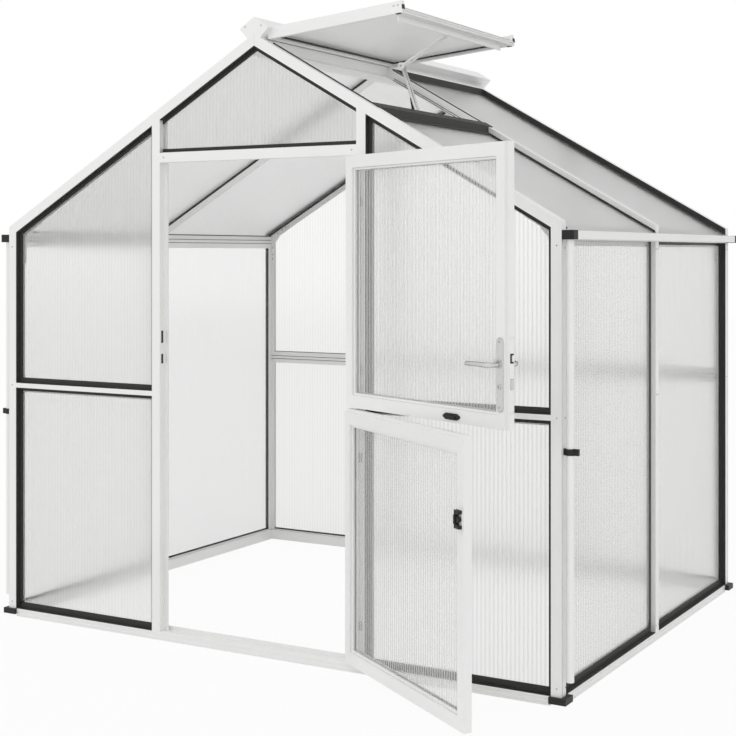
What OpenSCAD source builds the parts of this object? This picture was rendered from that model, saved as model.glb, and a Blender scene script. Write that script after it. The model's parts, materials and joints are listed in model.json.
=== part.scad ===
// Walk-in greenhouse: an aluminium frame glazed with twin-wall polycarbonate sheet.
// The front wall has a split door on the right-hand post, the roof has one open vent,
// and a gutter with a downpipe runs along each eave.
// Origin: middle of the front sill's underside. +X right, +Y towards the back, +Z up.

/* [House] */
// Overall width over the side wall frames
house_w = 2580; // [2200:10:3000]
// Overall depth over the front and back frames
house_d = 2027; // [1600:1:3200]
// Height of the outer eave corner
eave_h = 1689; // [1560:1:1900]
// Roof pitch in degrees
roof_pitch = 30; // [24:0.5:36]

/* [Frame profile] */
// Face width and depth of posts, rakes and rafters
profile = 40; // [36:1:46]
// Depth from a frame's outer face to its sheet
recess = 25; // [20:1:28]
// Thickness of the twin-wall sheets
sheet_t = 10; // [6:1:10]
// Width of the lips that the sheets rest against
lip_w = 12; // [8:1:16]
// Height of the mid rails
rail_h = 20; // [16:1:30]
// Height of the underside of the mid rails
rail_z = 992; // [900:1:1100]
// Width of the rafters' and posts' joint gap at the ridge mitre
mitre_gap = 1; // [0.5:0.5:3]
// Half distance between the inner faces of the two back studs
back_stud_x = 464; // [400:1:520]
// Depth of the drip groove on the outer corners
corner_groove = 6; // [4:1:8]

/* [Base] */
// Height of the base frame
base_h = 33; // [28:1:40]
// Depth of the base frame
base_d = 56; // [52:1:70]
// Height of the base frame's rear upstand
upstand_h = 15; // [10:1:20]
// Thickness of the base frame's rear upstand
upstand_t = 4; // [3:0.5:6]
// Length of a base corner along the front
corner_len = 45; // [42:1:60]
// How far a base corner stands out beside the house
corner_side = 20; // [10:1:25]
// How far a base corner stands out in front of the house
corner_front = 12; // [6:1:16]
// Height of a base corner's underside above the ground
corner_lift = 10; // [5:1:15]

/* [Gaskets] */
// Width of the black gasket strips
gasket_w = 16; // [12:1:20]
// Width of the gasket strip above a mid rail
gasket_over_rail = 23; // [14:1:28]
// Width of the gasket strip below a mid rail
gasket_under_rail = 14; // [10:1:20]
// Width of the gasket strips beside side posts and mid rafters
gasket_by_post = 6; // [5:1:12]
// Thickness of the gasket strips on the sheets
gasket_t = 5; // [3:1:6]
// Thickness of the gasket that lines a reveal
lining_t = 3; // [2:0.5:4]

/* [Doorway] */
// Clear width between the door posts
door_clear_w = 928; // [800:1:1000]
// Height of the lintel's underside
lintel_z = 1944; // [1860:1:1990]
// Height of the lintel
lintel_h = 40; // [30:1:50]
// Width of the door stops
stop_w = 15; // [10:1:20]
// Gap between a closed leaf and its stops
stop_gap = 6; // [5:0.5:8]
// Height of a strike slot in the left door post
strike_h = 50; // [40:1:60]

/* [Door leaves] */
// Width of a leaf's frame
leaf_w = 903; // [775:1:975]
// Thickness of a leaf
leaf_t = 30; // [26:1:34]
// Width of the stiles
stile_w = 41; // [36:1:60]
// Height of the leaf rails
leaf_rail_h = 46; // [36:1:60]
// Depth from a leaf's inner face to its sheet
leaf_recess = 15; // [10:1:17]
// Gap between the hinge post and the leaf
hinge_gap = 5; // [5:0.5:8]
// Distance from the leaf's hinge edge to the pivot
pivot_in = 6; // [6:0.5:8]
// How far the closed leaves stand proud of the posts
leaf_proud = 4; // [3:0.5:6]
// Underside of the lower leaf
lower_z0 = 44; // [42:1:60]
// Top of the lower leaf's frame
lower_z1 = 983; // [900:1:985]
// Underside of the upper leaf
upper_z0 = 1001; // [1000:1:1010]
// Gap between the upper leaf and the lintel
lintel_gap = 5; // [5:0.5:8]
// Width of the upper leaf's closing flange
flange_w = 14; // [8:1:14]
// Height of the lower leaf's weather flange
weather_h = 11; // [6:1:11]
// Thickness of both flanges
flange_t = 20; // [12:1:22]
// Opening angle of the upper leaf
upper_open = 155.6; // [120:0.2:165]
// Opening angle of the lower leaf
lower_open = 145.6; // [120:0.2:165]

/* [Door hardware] */
// Length of the handle plates
plate_h = 243; // [200:1:260]
// Width of the handle plates
plate_w = 30; // [24:1:34]
// Thickness of the handle plates
plate_t = 6; // [4:1:8]
// Middle height of the handle plates
plate_z = 1180; // [1140:1:1250]
// Height of the lever
lever_z = 1213; // [1180:1:1260]
// Height of the latch above the lever
latch_up = 21; // [10:1:30]
// Depth of the deadbolt below the lever
bolt_down = 63; // [50:1:80]
// Length of the lever
lever_l = 113; // [90:1:130]
// How far the lever's middle stands out from the leaf
lever_out = 42; // [36:1:55]
// Radius of the lever
lever_r = 9; // [6:0.5:10]
// Radius of the lever's spindle
spindle_r = 4; // [3:0.5:5]
// Radius of a hinge knuckle
knuckle_r = 5; // [5:0.5:5.5]
// Radius of a hinge pin
pin_r = 2.5; // [2:0.5:3]
// Height of one hinge knuckle
knuckle_h = 35; // [25:1:45]
// Distance of the hinges from the ends of a leaf
hinge_in = 120; // [90:5:180]

/* [Roof] */
// Vertical height of the eave beams under the sheets
eave_beam_z = 1622; // [1520:1:1622]
// Horizontal half width of the ridge beam
ridge_half = 40; // [36:1:60]
// Height of the ridge cap above the frame's apex
cap_h = 66; // [50:1:80]
// Half width of the ridge cap
cap_half = 68; // [60:1:80]
// Height of the ridge cap's shoulders above the frame's apex
cap_shoulder = 23; // [16:1:30]
// Half width of the ridge cap's foot
cap_foot = 30; // [24:1:36]
// How far the roof sheets reach past the side walls
sheet_over = 6; // [2:1:8]

/* [Roof vent] */
// Horizontal distance from the ridge to the vent's curb
curb_x = 506; // [420:1:620]
// Horizontal width of the curb
curb_w = 33; // [28:1:44]
// Length of the vent flap
vent_l = 602; // [560:1:640]
// Height of the vent flap's frame
vent_h = 45; // [38:1:50]
// Width of the vent flap's front and back members
vent_side = 20; // [16:1:30]
// Width of the vent flap's hinge rail
vent_hinge = 16; // [14:1:30]
// Width of the vent flap's free rail
vent_bar = 40; // [34:1:50]
// Height of the free rail, which the flap's sheet lies on
vent_rail_h = 15; // [12:1:20]
// Width of the ledges that carry the flap's sheet
vent_ledge = 10; // [6:1:12]
// Depth of the drip lip under the free rail
drip_h = 28; // [20:1:34]
// Distance from the free edge to the drip lip
drip_in = 26; // [16:1:30]
// Rise of the open vent flap above level, in degrees
vent_rise = 5.3; // [2:0.1:10]
// Distance from the ridge line to the flap's hinge edge
vent_x = 48; // [44:1:52]
// Height of the flap's hinge edge below the frame's apex
vent_drop = 21; // [16:1:26]
// How far the flap overlaps the rake and the mid rafter
vent_lap = 11; // [6:1:16]
// Distance of the opener from the flap's front edge
opener_v = 430; // [300:5:600]
// Radius of the opener's two legs
opener_r = 6; // [5:0.5:8]
// Radius of the opener's arm and rod
arm_r = 4; // [3:0.5:6]
// Horizontal distance from the curb to the opener's knee
knee_in = 89; // [70:1:110]
// Height of the opener's knee above its foot
knee_up = 230; // [200:1:260]

/* [Rainwater] */
// Width of the gutters
gutter_w = 44; // [36:1:60]
// Height of the gutters
gutter_h = 29; // [24:1:36]
// Height of the gutters' underside
gutter_z = 1625; // [1500:1:1627]
// Wall thickness of the gutters and downpipes
gutter_t = 2; // [1.5:0.5:3]
// Distance from the front and back faces to the gutters' ends
gutter_end = 3; // [2:0.5:6]
// Length of the gutters' end caps
cap_len = 36; // [30:1:36]
// Outer radius of a downpipe
pipe_r = 14; // [10:1:15]
// Height of a downpipe's open end
pipe_z = 85; // [50:1:200]
// Height of the pipe clips
clip_z = 873; // [700:1:1100]
// Width of a pipe clip
clip_h = 23; // [16:1:30]

/* [Hidden] */
$fn = 48;

// Colours of the materials
alu_col = [0.9, 0.9, 0.89];
sheet_col = [0.85, 0.87, 0.86, 0.6];
rubber_col = [0.17, 0.17, 0.16];
steel_col = [0.78, 0.78, 0.77];
// A small overlap for clean cuts
eps = 0.1;

half_w = house_w / 2;
front_y = -base_d / 2;
back_y = front_y + house_d;
mid_y = front_y + house_d / 2;
lip_t = profile - recess - sheet_t;
post_in_x = half_w - profile;
door_x = door_clear_w / 2;
door_out_x = door_x + profile;
stud_out_x = back_stud_x + profile;
rail_top = rail_z + rail_h;
lintel_top = lintel_z + lintel_h;
sheet_back = recess + sheet_t;
// Working gap of a sheet or gasket against a sloping face
seat_gap = 0.1;
under_rake = profile + seat_gap;
apex_z = roof_z(0);
upper_z1 = lintel_z - lintel_gap;
lower_top = lower_z1 + weather_h;

// Closed leaf: its hinge edge, outer face and pivot
leaf_x = door_x - hinge_gap;
leaf_y = front_y - leaf_proud;
pivot_x = leaf_x - pivot_in;
pivot_y = leaf_y;
pin_clear = 0.08;
notch_clear = 1.5;
wing_t = 3;
wing_back = 8;
knuckle_gap = 0.3;

// Height of the roof's outer plane at a distance x from the ridge line
function roof_z(x) = eave_h + (half_w - abs(x)) * tan(roof_pitch);
// Vertical measure of a depth n below the roof's outer plane
function drop(n) = n / cos(roof_pitch);
// Outline of a band that follows the right-hand slope between two depths
function slope_band(x0, x1, n0, n1) = [
    [x0, roof_z(x0) - drop(n0)], [x1, roof_z(x1) - drop(n0)],
    [x1, roof_z(x1) - drop(n1)], [x0, roof_z(x0) - drop(n1)]];
// Outline of a wall field between two widths, from z0 up to a depth n below the roof
function gable_field(x0, x1, z0, n) = concat(
    [[x0, z0], [x1, z0], [x1, roof_z(x1) - drop(n)]],
    x0 < 0 && x1 > 0 ? [[0, roof_z(0) - drop(n)]] : [],
    [[x0, roof_z(x0) - drop(n)]]);

// A plate with an outline in X and Z, between two depths
module plate_xz(points, y0, y1) {
    translate([0, y1, 0]) rotate([90, 0, 0]) linear_extrude(y1 - y0) polygon(points);
}

// A block between two corners
module block(low, high) {
    translate(low) cube(high - low);
}

// Its children on the right, and mirrored on the left
module both_sides() {
    children();
    mirror([1, 0, 0]) children();
}

// Its children at the front, mirrored to the back wall
module at_back() {
    translate([0, front_y + back_y, 0]) mirror([0, 1, 0]) children();
}

module front_and_back() {
    children();
    at_back() children();
}

// ---- Base frame ----

// Section of the base frame: depth from the outer face, then height
module base_section() {
    groove = 1.5;
    groove_z = base_h * 2 / 3;
    difference() {
        union() {
            square([base_d, base_h]);
            translate([base_d - upstand_t, base_h - eps]) square([upstand_t, upstand_h + eps]);
        }
        translate([-eps, groove_z - groove / 2]) square([groove + eps, groove]);
    }
}

module front_base_bar() {
    bar_l = house_w - 2 * corner_len;
    translate([-bar_l / 2, front_y, 0]) rotate([90, 0, 90]) linear_extrude(bar_l) base_section();
}

// A lip that stands on the front base between two widths
module base_lip(x0, x1) {
    block([x0, front_y + sheet_back, base_h - eps], [x1, front_y + profile, base_h + lip_w]);
}

module base_front() {
    color(alu_col) difference() {
        union() {
            front_base_bar();
            both_sides() base_lip(door_out_x + lip_w, post_in_x - lip_w);
        }
        front_posts_blank();
    }
}

module base_back() {
    color(alu_col) difference() {
        at_back() union() {
            front_base_bar();
            both_sides() base_lip(stud_out_x, post_in_x - lip_w);
            base_lip(-back_stud_x, back_stud_x);
        }
        back_stud_blanks();
    }
}

module base_sides() {
    side_y0 = front_y + base_d;
    side_y1 = back_y - base_d;
    color(alu_col) both_sides() difference() {
        union() {
            translate([half_w, side_y0, 0]) mirror([1, 0, 0]) rotate([90, 0, 0])
                mirror([0, 0, 1]) linear_extrude(side_y1 - side_y0) base_section();
            block([half_w - profile, side_y0, base_h - eps],
                [half_w - sheet_back, side_y1, base_h + lip_w]);
        }
        side_post_blank();
    }
}

module base_corners() {
    color(rubber_col) both_sides() front_and_back()
        block([half_w - corner_len, front_y - corner_front, corner_lift],
            [half_w + corner_side, front_y + base_d, base_h]);
}

// ---- Posts and rails ----

// Plan of the right front corner post, with a lip for each of its two sheets
module corner_post_plan() {
    groove_y = profile / 10;
    difference() {
        union() {
            translate([post_in_x, front_y]) square(profile);
            translate([post_in_x - lip_w, front_y + sheet_back]) square([lip_w + eps, lip_t]);
            translate([post_in_x, front_y + profile - eps]) square([lip_t, lip_w + eps]);
        }
        translate([half_w - corner_groove, front_y + groove_y])
            square([corner_groove + eps, 2 * groove_y]);
    }
}

module front_corner_post_blank() {
    translate([0, 0, base_h]) linear_extrude(roof_z(post_in_x) - base_h) corner_post_plan();
}

module corner_posts() {
    color(alu_col) both_sides() front_and_back() difference() {
        front_corner_post_blank();
        rake_blank();
        translate([0, -eps, 0]) plate_xz(slope_band(0, half_w + profile, -profile, profile),
            front_y, front_y + 2 * profile);
    }
}

// The uncut body of a front or back wall post between its two faces
module wall_post(x0, z1) {
    block([x0, front_y, base_h], [x0 + profile, front_y + profile, z1]);
}

module front_posts_blank() {
    both_sides() wall_post(door_x, lintel_z);
}

module door_post_right_blank() {
    top_z = roof_z(door_x);
    wall_post(door_x, top_z);
    block([door_out_x - eps, front_y + sheet_back, base_h],
        [door_out_x + lip_w, front_y + profile, top_z]);
    block([door_x - lip_w, front_y + sheet_back, lintel_top],
        [door_x + eps, front_y + profile, top_z]);
    block([door_x - stop_w, leaf_y + leaf_t + stop_gap, base_h],
        [door_x + eps, front_y + profile, lintel_z]);
}

module strike_slots() {
    slot_w = 14;
    slot_deep = 8;
    slot_y = front_y + profile / 4;
    for (z = [latch_z, bolt_z])
        block([-door_x - slot_deep, slot_y, z - strike_h / 2],
            [-door_x + eps, slot_y + slot_w, z + strike_h / 2]);
}

module door_posts() {
    color(alu_col) difference() {
        both_sides() door_post_right_blank();
        both_sides() rake_blank();
        above_rakes();
        strike_slots();
    }
}

// All the space above the rakes' undersides at the front wall
module above_rakes() {
    both_sides() plate_xz(slope_band(-eps, half_w + profile, -4 * profile, profile),
        front_y - eps, front_y + profile + eps);
}

module back_stud_blanks() {
    at_back() both_sides() wall_post(back_stud_x, roof_z(back_stud_x));
}

module back_studs() {
    top_z = roof_z(back_stud_x);
    color(alu_col) at_back() both_sides() difference() {
        union() {
            wall_post(back_stud_x, top_z);
            block([back_stud_x - lip_w, front_y + sheet_back, base_h + lip_w],
                [stud_out_x + lip_w, front_y + profile, top_z]);
        }
        rake_blank();
        above_rakes();
    }
}

module side_post_blank() {
    block([post_in_x, mid_y - profile / 2, base_h], [half_w, mid_y + profile / 2, eave_beam_z]);
}

module side_posts() {
    color(alu_col) both_sides() difference() {
        union() {
            side_post_blank();
            block([post_in_x, mid_y - profile / 2 - lip_w, base_h + lip_w],
                [post_in_x + lip_t, mid_y + profile / 2 + lip_w, eave_beam_z - lip_w]);
        }
        translate([post_in_x - eps, mid_y - profile, eave_beam_z - lip_w])
            cube([lip_t + eps, 2 * profile, lip_w + eps]);
    }
}

module lintel() {
    color(alu_col) union() {
        block([-door_x, front_y, lintel_z], [door_x, front_y + profile, lintel_top]);
        block([-door_x + lip_w, front_y + sheet_back, lintel_top - eps],
            [door_x - lip_w, front_y + profile, lintel_top + lip_w]);
    }
}

// A mid rail between two widths, with a lip above and below; its lips stop short of the
// posts' own lips
module mid_rail(x0, x1) {
    block([x0, front_y, rail_z], [x1, front_y + sheet_back, rail_top]);
    block([x0 + lip_w, front_y + recess, rail_z - lip_w + eps],
        [x1 - lip_w, front_y + profile, rail_top + lip_w - eps]);
}

// The mid rail without the space that its sheets take
module mid_rail_cut(x0, x1) {
    difference() {
        mid_rail(x0, x1);
        block([x0 - eps, front_y - eps, rail_z - sheet_back],
            [x1 + eps, front_y + sheet_back, rail_z]);
        block([x0 - eps, front_y - eps, rail_top],
            [x1 + eps, front_y + sheet_back, rail_top + sheet_back]);
    }
}

module front_mid_rails() {
    color(alu_col) both_sides() mid_rail_cut(door_out_x, post_in_x);
}

module back_mid_rails() {
    color(alu_col) at_back() union() {
        both_sides() mid_rail_cut(stud_out_x, post_in_x);
        mid_rail_cut(-back_stud_x, back_stud_x);
    }
}

// ---- Roof frame ----

// The right front rake, with a lip under it for the wall and one behind it for the roof
module rake_blank() {
    x0 = mitre_gap / 2;
    plate_xz(slope_band(x0, half_w, 0, profile), front_y, front_y + profile);
    plate_xz(slope_band(x0, post_in_x, profile - eps, profile + lip_w),
        front_y + sheet_back, front_y + profile);
    plate_xz(slope_band(ridge_half + lip_w, half_w, sheet_back, profile),
        front_y + profile - eps, front_y + profile + lip_w);
}

module front_rakes() {
    color(alu_col) both_sides() rake_blank();
}

module back_rakes() {
    color(alu_col) at_back() both_sides() rake_blank();
}

// Section of the right eave beam, under the roof sheets, with a lip for the side sheets
module eave_beam_blank() {
    beam_top = roof_z(half_w) - drop(sheet_back);
    inner_top = roof_z(post_in_x) - drop(sheet_back);
    y0 = front_y + profile;
    y1 = back_y - profile;
    plate_xz([[post_in_x, eave_beam_z], [half_w, eave_beam_z], [half_w, beam_top],
        [post_in_x, inner_top]], y0, y1);
    block([post_in_x, y0 + lip_w, eave_beam_z - lip_w],
        [post_in_x + lip_t, y1 - lip_w, eave_beam_z + eps]);
}

module eave_beams() {
    color(alu_col) both_sides() difference() {
        eave_beam_blank();
        front_and_back() rake_blank();
        front_and_back() front_corner_post_blank();
    }
}

module ridge_beam_half() {
    y0 = front_y + profile;
    y1 = back_y - profile;
    plate_xz(slope_band(-eps, ridge_half, 0, profile), y0, y1);
    plate_xz(slope_band(ridge_half - eps, ridge_half + lip_w, sheet_back, profile), y0, y1);
}

module ridge_beam() {
    color(alu_col) both_sides() ridge_beam_half();
}

module mid_rafter_blank() {
    plate_xz(slope_band(ridge_half, half_w, 0, profile),
        mid_y - profile / 2, mid_y + profile / 2);
    plate_xz(slope_band(ridge_half + lip_w, post_in_x, sheet_back, profile),
        mid_y - profile / 2 - lip_w, mid_y + profile / 2 + lip_w);
}

module mid_rafters() {
    color(alu_col) both_sides() difference() {
        mid_rafter_blank();
        eave_beam_blank();
        ridge_beam_half();
    }
}

// The cap sits on both slopes, so its underside follows them
module ridge_cap() {
    foot_z = roof_z(cap_foot);
    color(alu_col) plate_xz([[0, apex_z], [cap_foot, foot_z],
        [cap_half, apex_z + cap_shoulder], [0, apex_z + cap_h],
        [-cap_half, apex_z + cap_shoulder], [-cap_foot, foot_z]], front_y, back_y);
}

// A corner plate joins a corner post and its rake: two legs that lie on the lips inside, with a
// round inner corner
module corner_plates() {
    leg = 90;
    leg_w = 24;
    thick = 3;
    round_r = 34;
    wall_y = front_y + profile;
    x1 = post_in_x - seat_gap;
    x_mid = post_in_x - leg_w;
    x0 = x_mid - leg;
    under = under_rake + seat_gap;
    color(alu_col) both_sides() front_and_back()
        translate([0, wall_y + thick, 0]) rotate([90, 0, 0]) linear_extrude(thick) difference() {
            polygon([[x1, eave_beam_z - leg], [x1, roof_z(x1) - drop(under)],
                [x0, roof_z(x0) - drop(under)], [x0, roof_z(x0) - drop(under + leg_w)],
                [x_mid - round_r, roof_z(x_mid - round_r) - drop(under + leg_w)],
                [x_mid, roof_z(x_mid) - drop(under + leg_w) - round_r],
                [x_mid, eave_beam_z - leg]]);
            translate([x_mid - round_r, roof_z(x_mid) - drop(under + leg_w) - round_r])
                circle(r = round_r);
        }
}

// ---- Rainwater goods ----

gutter_y0 = front_y + gutter_end;
gutter_y1 = back_y - gutter_end;
pipe_x = half_w + gutter_w / 2;
pipe_y = front_y + base_d / 2 - gutter_end;
pipe_gap = 0.2;

module gutters() {
    inner_low = gutter_h / 2;
    color(alu_col) both_sides() difference() {
        block([half_w, gutter_y0, gutter_z], [half_w + gutter_w, gutter_y1, gutter_z + gutter_h]);
        block([half_w + gutter_t, gutter_y0 - eps, gutter_z + gutter_t],
            [half_w + gutter_w - gutter_t, gutter_y1 + eps, gutter_z + gutter_h + eps]);
        block([half_w - eps, gutter_y0 - eps, gutter_z + inner_low],
            [half_w + gutter_w / 2, gutter_y1 + eps, gutter_z + gutter_h + eps]);
        translate([pipe_x, pipe_y, gutter_z - eps])
            cylinder(r = pipe_r - gutter_t / 2, h = gutter_t + 2 * eps);
    }
}

// A cap wraps a gutter's end, outer side and underside, and the front ones hold a downpipe
module gutter_cap() {
    wrap = 2;
    difference() {
        block([half_w, gutter_y0 - wrap, gutter_z - wrap],
            [half_w + gutter_w + wrap, gutter_y0 + cap_len, gutter_z + gutter_h + wrap]);
        block([half_w - eps, gutter_y0, gutter_z],
            [half_w + gutter_w, gutter_y0 + cap_len + eps, gutter_z + gutter_h + 2 * wrap]);
    }
}

module gutter_caps() {
    color(rubber_col) both_sides() {
        difference() {
            gutter_cap();
            translate([pipe_x, pipe_y, gutter_z - gutter_h])
                cylinder(r = pipe_r + pipe_gap, h = gutter_h + eps);
        }
        at_back() gutter_cap();
    }
}

module downpipes() {
    color(alu_col) both_sides() translate([pipe_x, pipe_y, pipe_z]) difference() {
        cylinder(r = pipe_r, h = gutter_z - pipe_z);
        translate([0, 0, -eps]) cylinder(r = pipe_r - gutter_t, h = gutter_z - pipe_z + 2 * eps);
    }
}

// A clip holds the downpipe to the corner post and ends in a tab
module pipe_clips() {
    ring_t = 3;
    tab = 19;
    arm_w = 12;
    color(rubber_col) both_sides() translate([pipe_x, pipe_y, clip_z]) difference() {
        union() {
            cylinder(r = pipe_r + ring_t, h = clip_h);
            translate([half_w - pipe_x, -arm_w / 2, 0])
                cube([pipe_x - half_w + pipe_r + tab, arm_w, clip_h]);
        }
        translate([0, 0, -eps]) cylinder(r = pipe_r + pipe_gap, h = clip_h + 2 * eps);
    }
}

// ---- Roof vent ----

curb_end = curb_x + curb_w;

module vent_curb() {
    y0 = front_y + profile;
    y1 = mid_y - profile / 2;
    color(alu_col) union() {
        plate_xz(slope_band(curb_x, curb_end, 0, sheet_back - seat_gap), y0, y1);
        plate_xz(slope_band(curb_x, curb_end, recess, profile), y0 + lip_w, y1 - lip_w);
        plate_xz(slope_band(curb_x, curb_end + lip_w, sheet_back, profile),
            y0 + lip_w, y1 - lip_w);
    }
}

vent_y0 = front_y + profile - vent_lap;
vent_y1 = mid_y + profile / 2 - 2;

// Its children in the open flap's frame: X along the flap, Z across it
module on_vent() {
    translate([vent_x, vent_y0, apex_z - vent_drop]) rotate([0, -vent_rise, 0]) children();
}

vent_w = vent_y1 - vent_y0;
vent_drip_t = 4;
// The drip lip ends short of the flap's back edge
drip_short = 92;

// The flap's sheet, which lies on a ledge all round and runs out over the free rail
module vent_sheet_blank(height) {
    block([vent_hinge - vent_ledge, vent_side - vent_ledge, vent_rail_h],
        [vent_l - vent_ledge, vent_w - vent_side + vent_ledge, vent_rail_h + height]);
}

module vent_frame() {
    color(alu_col) difference() {
        on_vent() union() {
            difference() {
                cube([vent_l, vent_w, vent_h]);
                block([vent_hinge, vent_side, -eps],
                    [vent_l - vent_bar, vent_w - vent_side, vent_h + eps]);
                block([vent_l - vent_bar, vent_side, vent_rail_h],
                    [vent_l + eps, vent_w - vent_side, vent_h + eps]);
                vent_sheet_blank(vent_h);
            }
            block([vent_l - drip_in - vent_drip_t, vent_side / 2, -drip_h],
                [vent_l - drip_in, vent_w - drip_short, eps]);
        }
        plate_xz([[-cap_half, apex_z - profile], [cap_foot, roof_z(cap_foot)],
            [cap_half, apex_z + cap_shoulder], [0, apex_z + cap_h]], front_y, back_y);
    }
}

module vent_sheet() {
    color(sheet_col) on_vent() vent_sheet_blank(sheet_t);
}

// A round bar between two points in X and Z
module rod_xz(from, to, r) {
    run = to - from;
    translate([from[0], 0, from[1]]) rotate([0, atan2(run[0], run[1]), 0])
        cylinder(r = r, h = norm(run));
}

// The opener stands on a bracket inside the curb. Two legs reach its knee, an arm goes on to
// the flap's drip lip, and a thin rod props the legs.
module vent_opener() {
    plate_half = 16;
    plate_t = 4;
    lug = 14;
    pair = 2 * opener_r + 4;
    roof_low = roof_z(curb_x) - drop(profile);
    foot = [curb_x - plate_t - opener_r, roof_low + opener_r];
    knee = foot + [opener_r - knee_in, knee_up];
    rod_foot = [foot[0] - 1.6 * lug, foot[1] - 2 * lug];
    rod_top = (foot + knee) / 2;
    reach = vent_l - drip_in - vent_drip_t - lug / 2;
    tip = [vent_x + reach * cos(vent_rise), apex_z - vent_drop + reach * sin(vent_rise)]
        + (drip_h - arm_r) * [sin(vent_rise), -cos(vent_rise)];
    color(steel_col) translate([0, vent_y0 + opener_v, 0]) union() {
        difference() {
            block([curb_x - plate_t, -plate_half, rod_foot[1] - lug / 2],
                [curb_x, plate_half, roof_low + 2 * lug]);
            plate_xz(slope_band(curb_x, curb_end, 0, profile), -house_d, house_d);
        }
        block([rod_foot[0] - arm_r, -plate_half / 2, rod_foot[1] - lug / 2],
            [curb_x - plate_t + eps, plate_half / 2, rod_foot[1] + lug / 2]);
        for (side = [-1, 1]) translate([0, side * pair / 2, 0]) rod_xz(foot, knee, opener_r);
        rod_xz(rod_foot, rod_top, arm_r);
        rod_xz(knee, tip, arm_r);
        for (point = [knee, rod_top]) translate([point[0], plate_half, point[1]])
            rotate([90, 0, 0]) cylinder(r = opener_r, h = 2 * plate_half);
        on_opener_vent() block([reach - lug / 2, -plate_half, -drip_h],
            [reach + lug / 2 - seat_gap, plate_half, lug - drip_h]);
    }
}

// Its children in the open flap's frame, with Y from the opener's middle
module on_opener_vent() {
    translate([0, -vent_y0, 0]) on_vent() children();
}

// ---- Sheets ----

module wall_sheet(points) {
    plate_xz(points, front_y + recess, front_y + sheet_back);
}

function low_field(x0, x1) = [[x0, base_h], [x1, base_h], [x1, rail_z], [x0, rail_z]];

module front_sheets() {
    color(sheet_col) both_sides() union() {
        wall_sheet(low_field(door_out_x, post_in_x));
        wall_sheet(gable_field(door_out_x, post_in_x, rail_top, under_rake));
    }
}

module gable_sheet() {
    color(sheet_col) wall_sheet(gable_field(-door_x, door_x, lintel_top, under_rake));
}

module back_sheets() {
    color(sheet_col) at_back() union() {
        both_sides() wall_sheet(low_field(stud_out_x, post_in_x));
        both_sides() wall_sheet(gable_field(stud_out_x, post_in_x, rail_top, under_rake));
        wall_sheet(low_field(-back_stud_x, back_stud_x));
        wall_sheet(gable_field(-back_stud_x, back_stud_x, rail_top, under_rake));
    }
}

module side_sheets() {
    color(sheet_col) both_sides() front_and_back()
        block([half_w - sheet_back, front_y + profile, base_h],
            [half_w - recess, mid_y - profile / 2, eave_beam_z]);
}

module roof_sheet(x0, y0, y1) {
    plate_xz(slope_band(x0, half_w + sheet_over, recess + seat_gap, sheet_back - seat_gap), y0, y1);
}

module roof_sheets() {
    y0 = front_y + profile;
    y1 = mid_y - profile / 2;
    color(sheet_col) union() {
        roof_sheet(curb_end, y0, y1);
        at_back() roof_sheet(ridge_half, y0, y1);
        mirror([1, 0, 0]) front_and_back() roof_sheet(ridge_half, y0, y1);
    }
}

// ---- Gaskets ----

strip_y0 = recess - gasket_t;

// A black frame between the outline of a wall field and two smaller outlines: a strip on the
// sheet as far as inner, and a lining of the reveal as far as lining.
module field_gasket(points, inner, lining) {
    translate([0, front_y + recess, 0]) rotate([90, 0, 0]) linear_extrude(gasket_t)
        difference() {
            polygon(points);
            polygon(inner);
        }
    translate([0, front_y + strip_y0 + eps, 0]) rotate([90, 0, 0])
        linear_extrude(strip_y0 - 1 + eps) difference() {
            polygon(points);
            polygon(lining);
        }
}

// Outlines of the fields below and above a mid rail, moved in by d, and by rail_d at the rail
function low_inset(x0, x1, d, rail_d) = [[x0 + d, base_h + d], [x1 - d, base_h + d],
    [x1 - d, rail_z - rail_d], [x0 + d, rail_z - rail_d]];
function high_inset(x0, x1, d, rail_d) =
    gable_field(x0 + d, x1 - d, rail_top + rail_d, under_rake + d);

module bay_gaskets(x0, x1) {
    field_gasket(low_inset(x0, x1, 0, 0), low_inset(x0, x1, gasket_w, gasket_under_rail),
        low_inset(x0, x1, lining_t, lining_t));
    field_gasket(high_inset(x0, x1, 0, 0), high_inset(x0, x1, gasket_w, gasket_over_rail),
        high_inset(x0, x1, lining_t, lining_t));
}

module gable_gasket() {
    z1 = lintel_top;
    field_gasket(gable_field(-door_x, door_x, z1, under_rake),
        gable_field(-door_x - eps, door_x + eps, z1 + gasket_w, under_rake + gasket_w),
        gable_field(-door_x - eps, door_x + eps, z1 + lining_t, under_rake + lining_t));
}

// Gaskets of one side bay, drawn in Y and Z: the bottom is lined, the front and rear have
// strips, and the top has none
module side_bay_gasket(y0, y1, rear_w, lined_rear) {
    z1 = eave_beam_z;
    x_in = half_w - recess;
    block([x_in, y0, base_h], [x_in + gasket_t, y1, base_h + gasket_w]);
    block([x_in, y0, base_h], [half_w - 1, y1, base_h + lining_t]);
    block([x_in, y0, base_h], [x_in + gasket_t, y0 + gasket_by_post, z1]);
    block([x_in, y1 - rear_w, base_h], [x_in + gasket_t, y1, z1]);
    if (lined_rear) block([x_in, y1 - lining_t, base_h], [half_w - 1, y1, z1]);
}

module wall_gaskets() {
    y_post = mid_y - profile / 2;
    y_mid = mid_y + profile / 2;
    color(rubber_col) union() {
        both_sides() bay_gaskets(door_out_x, post_in_x);
        gable_gasket();
        at_back() both_sides() bay_gaskets(stud_out_x, post_in_x);
        at_back() bay_gaskets(-back_stud_x, back_stud_x);
        both_sides() side_bay_gasket(front_y + profile, y_post, gasket_by_post, false);
        both_sides() side_bay_gasket(y_mid, back_y - profile, gasket_w, true);
    }
}

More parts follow.
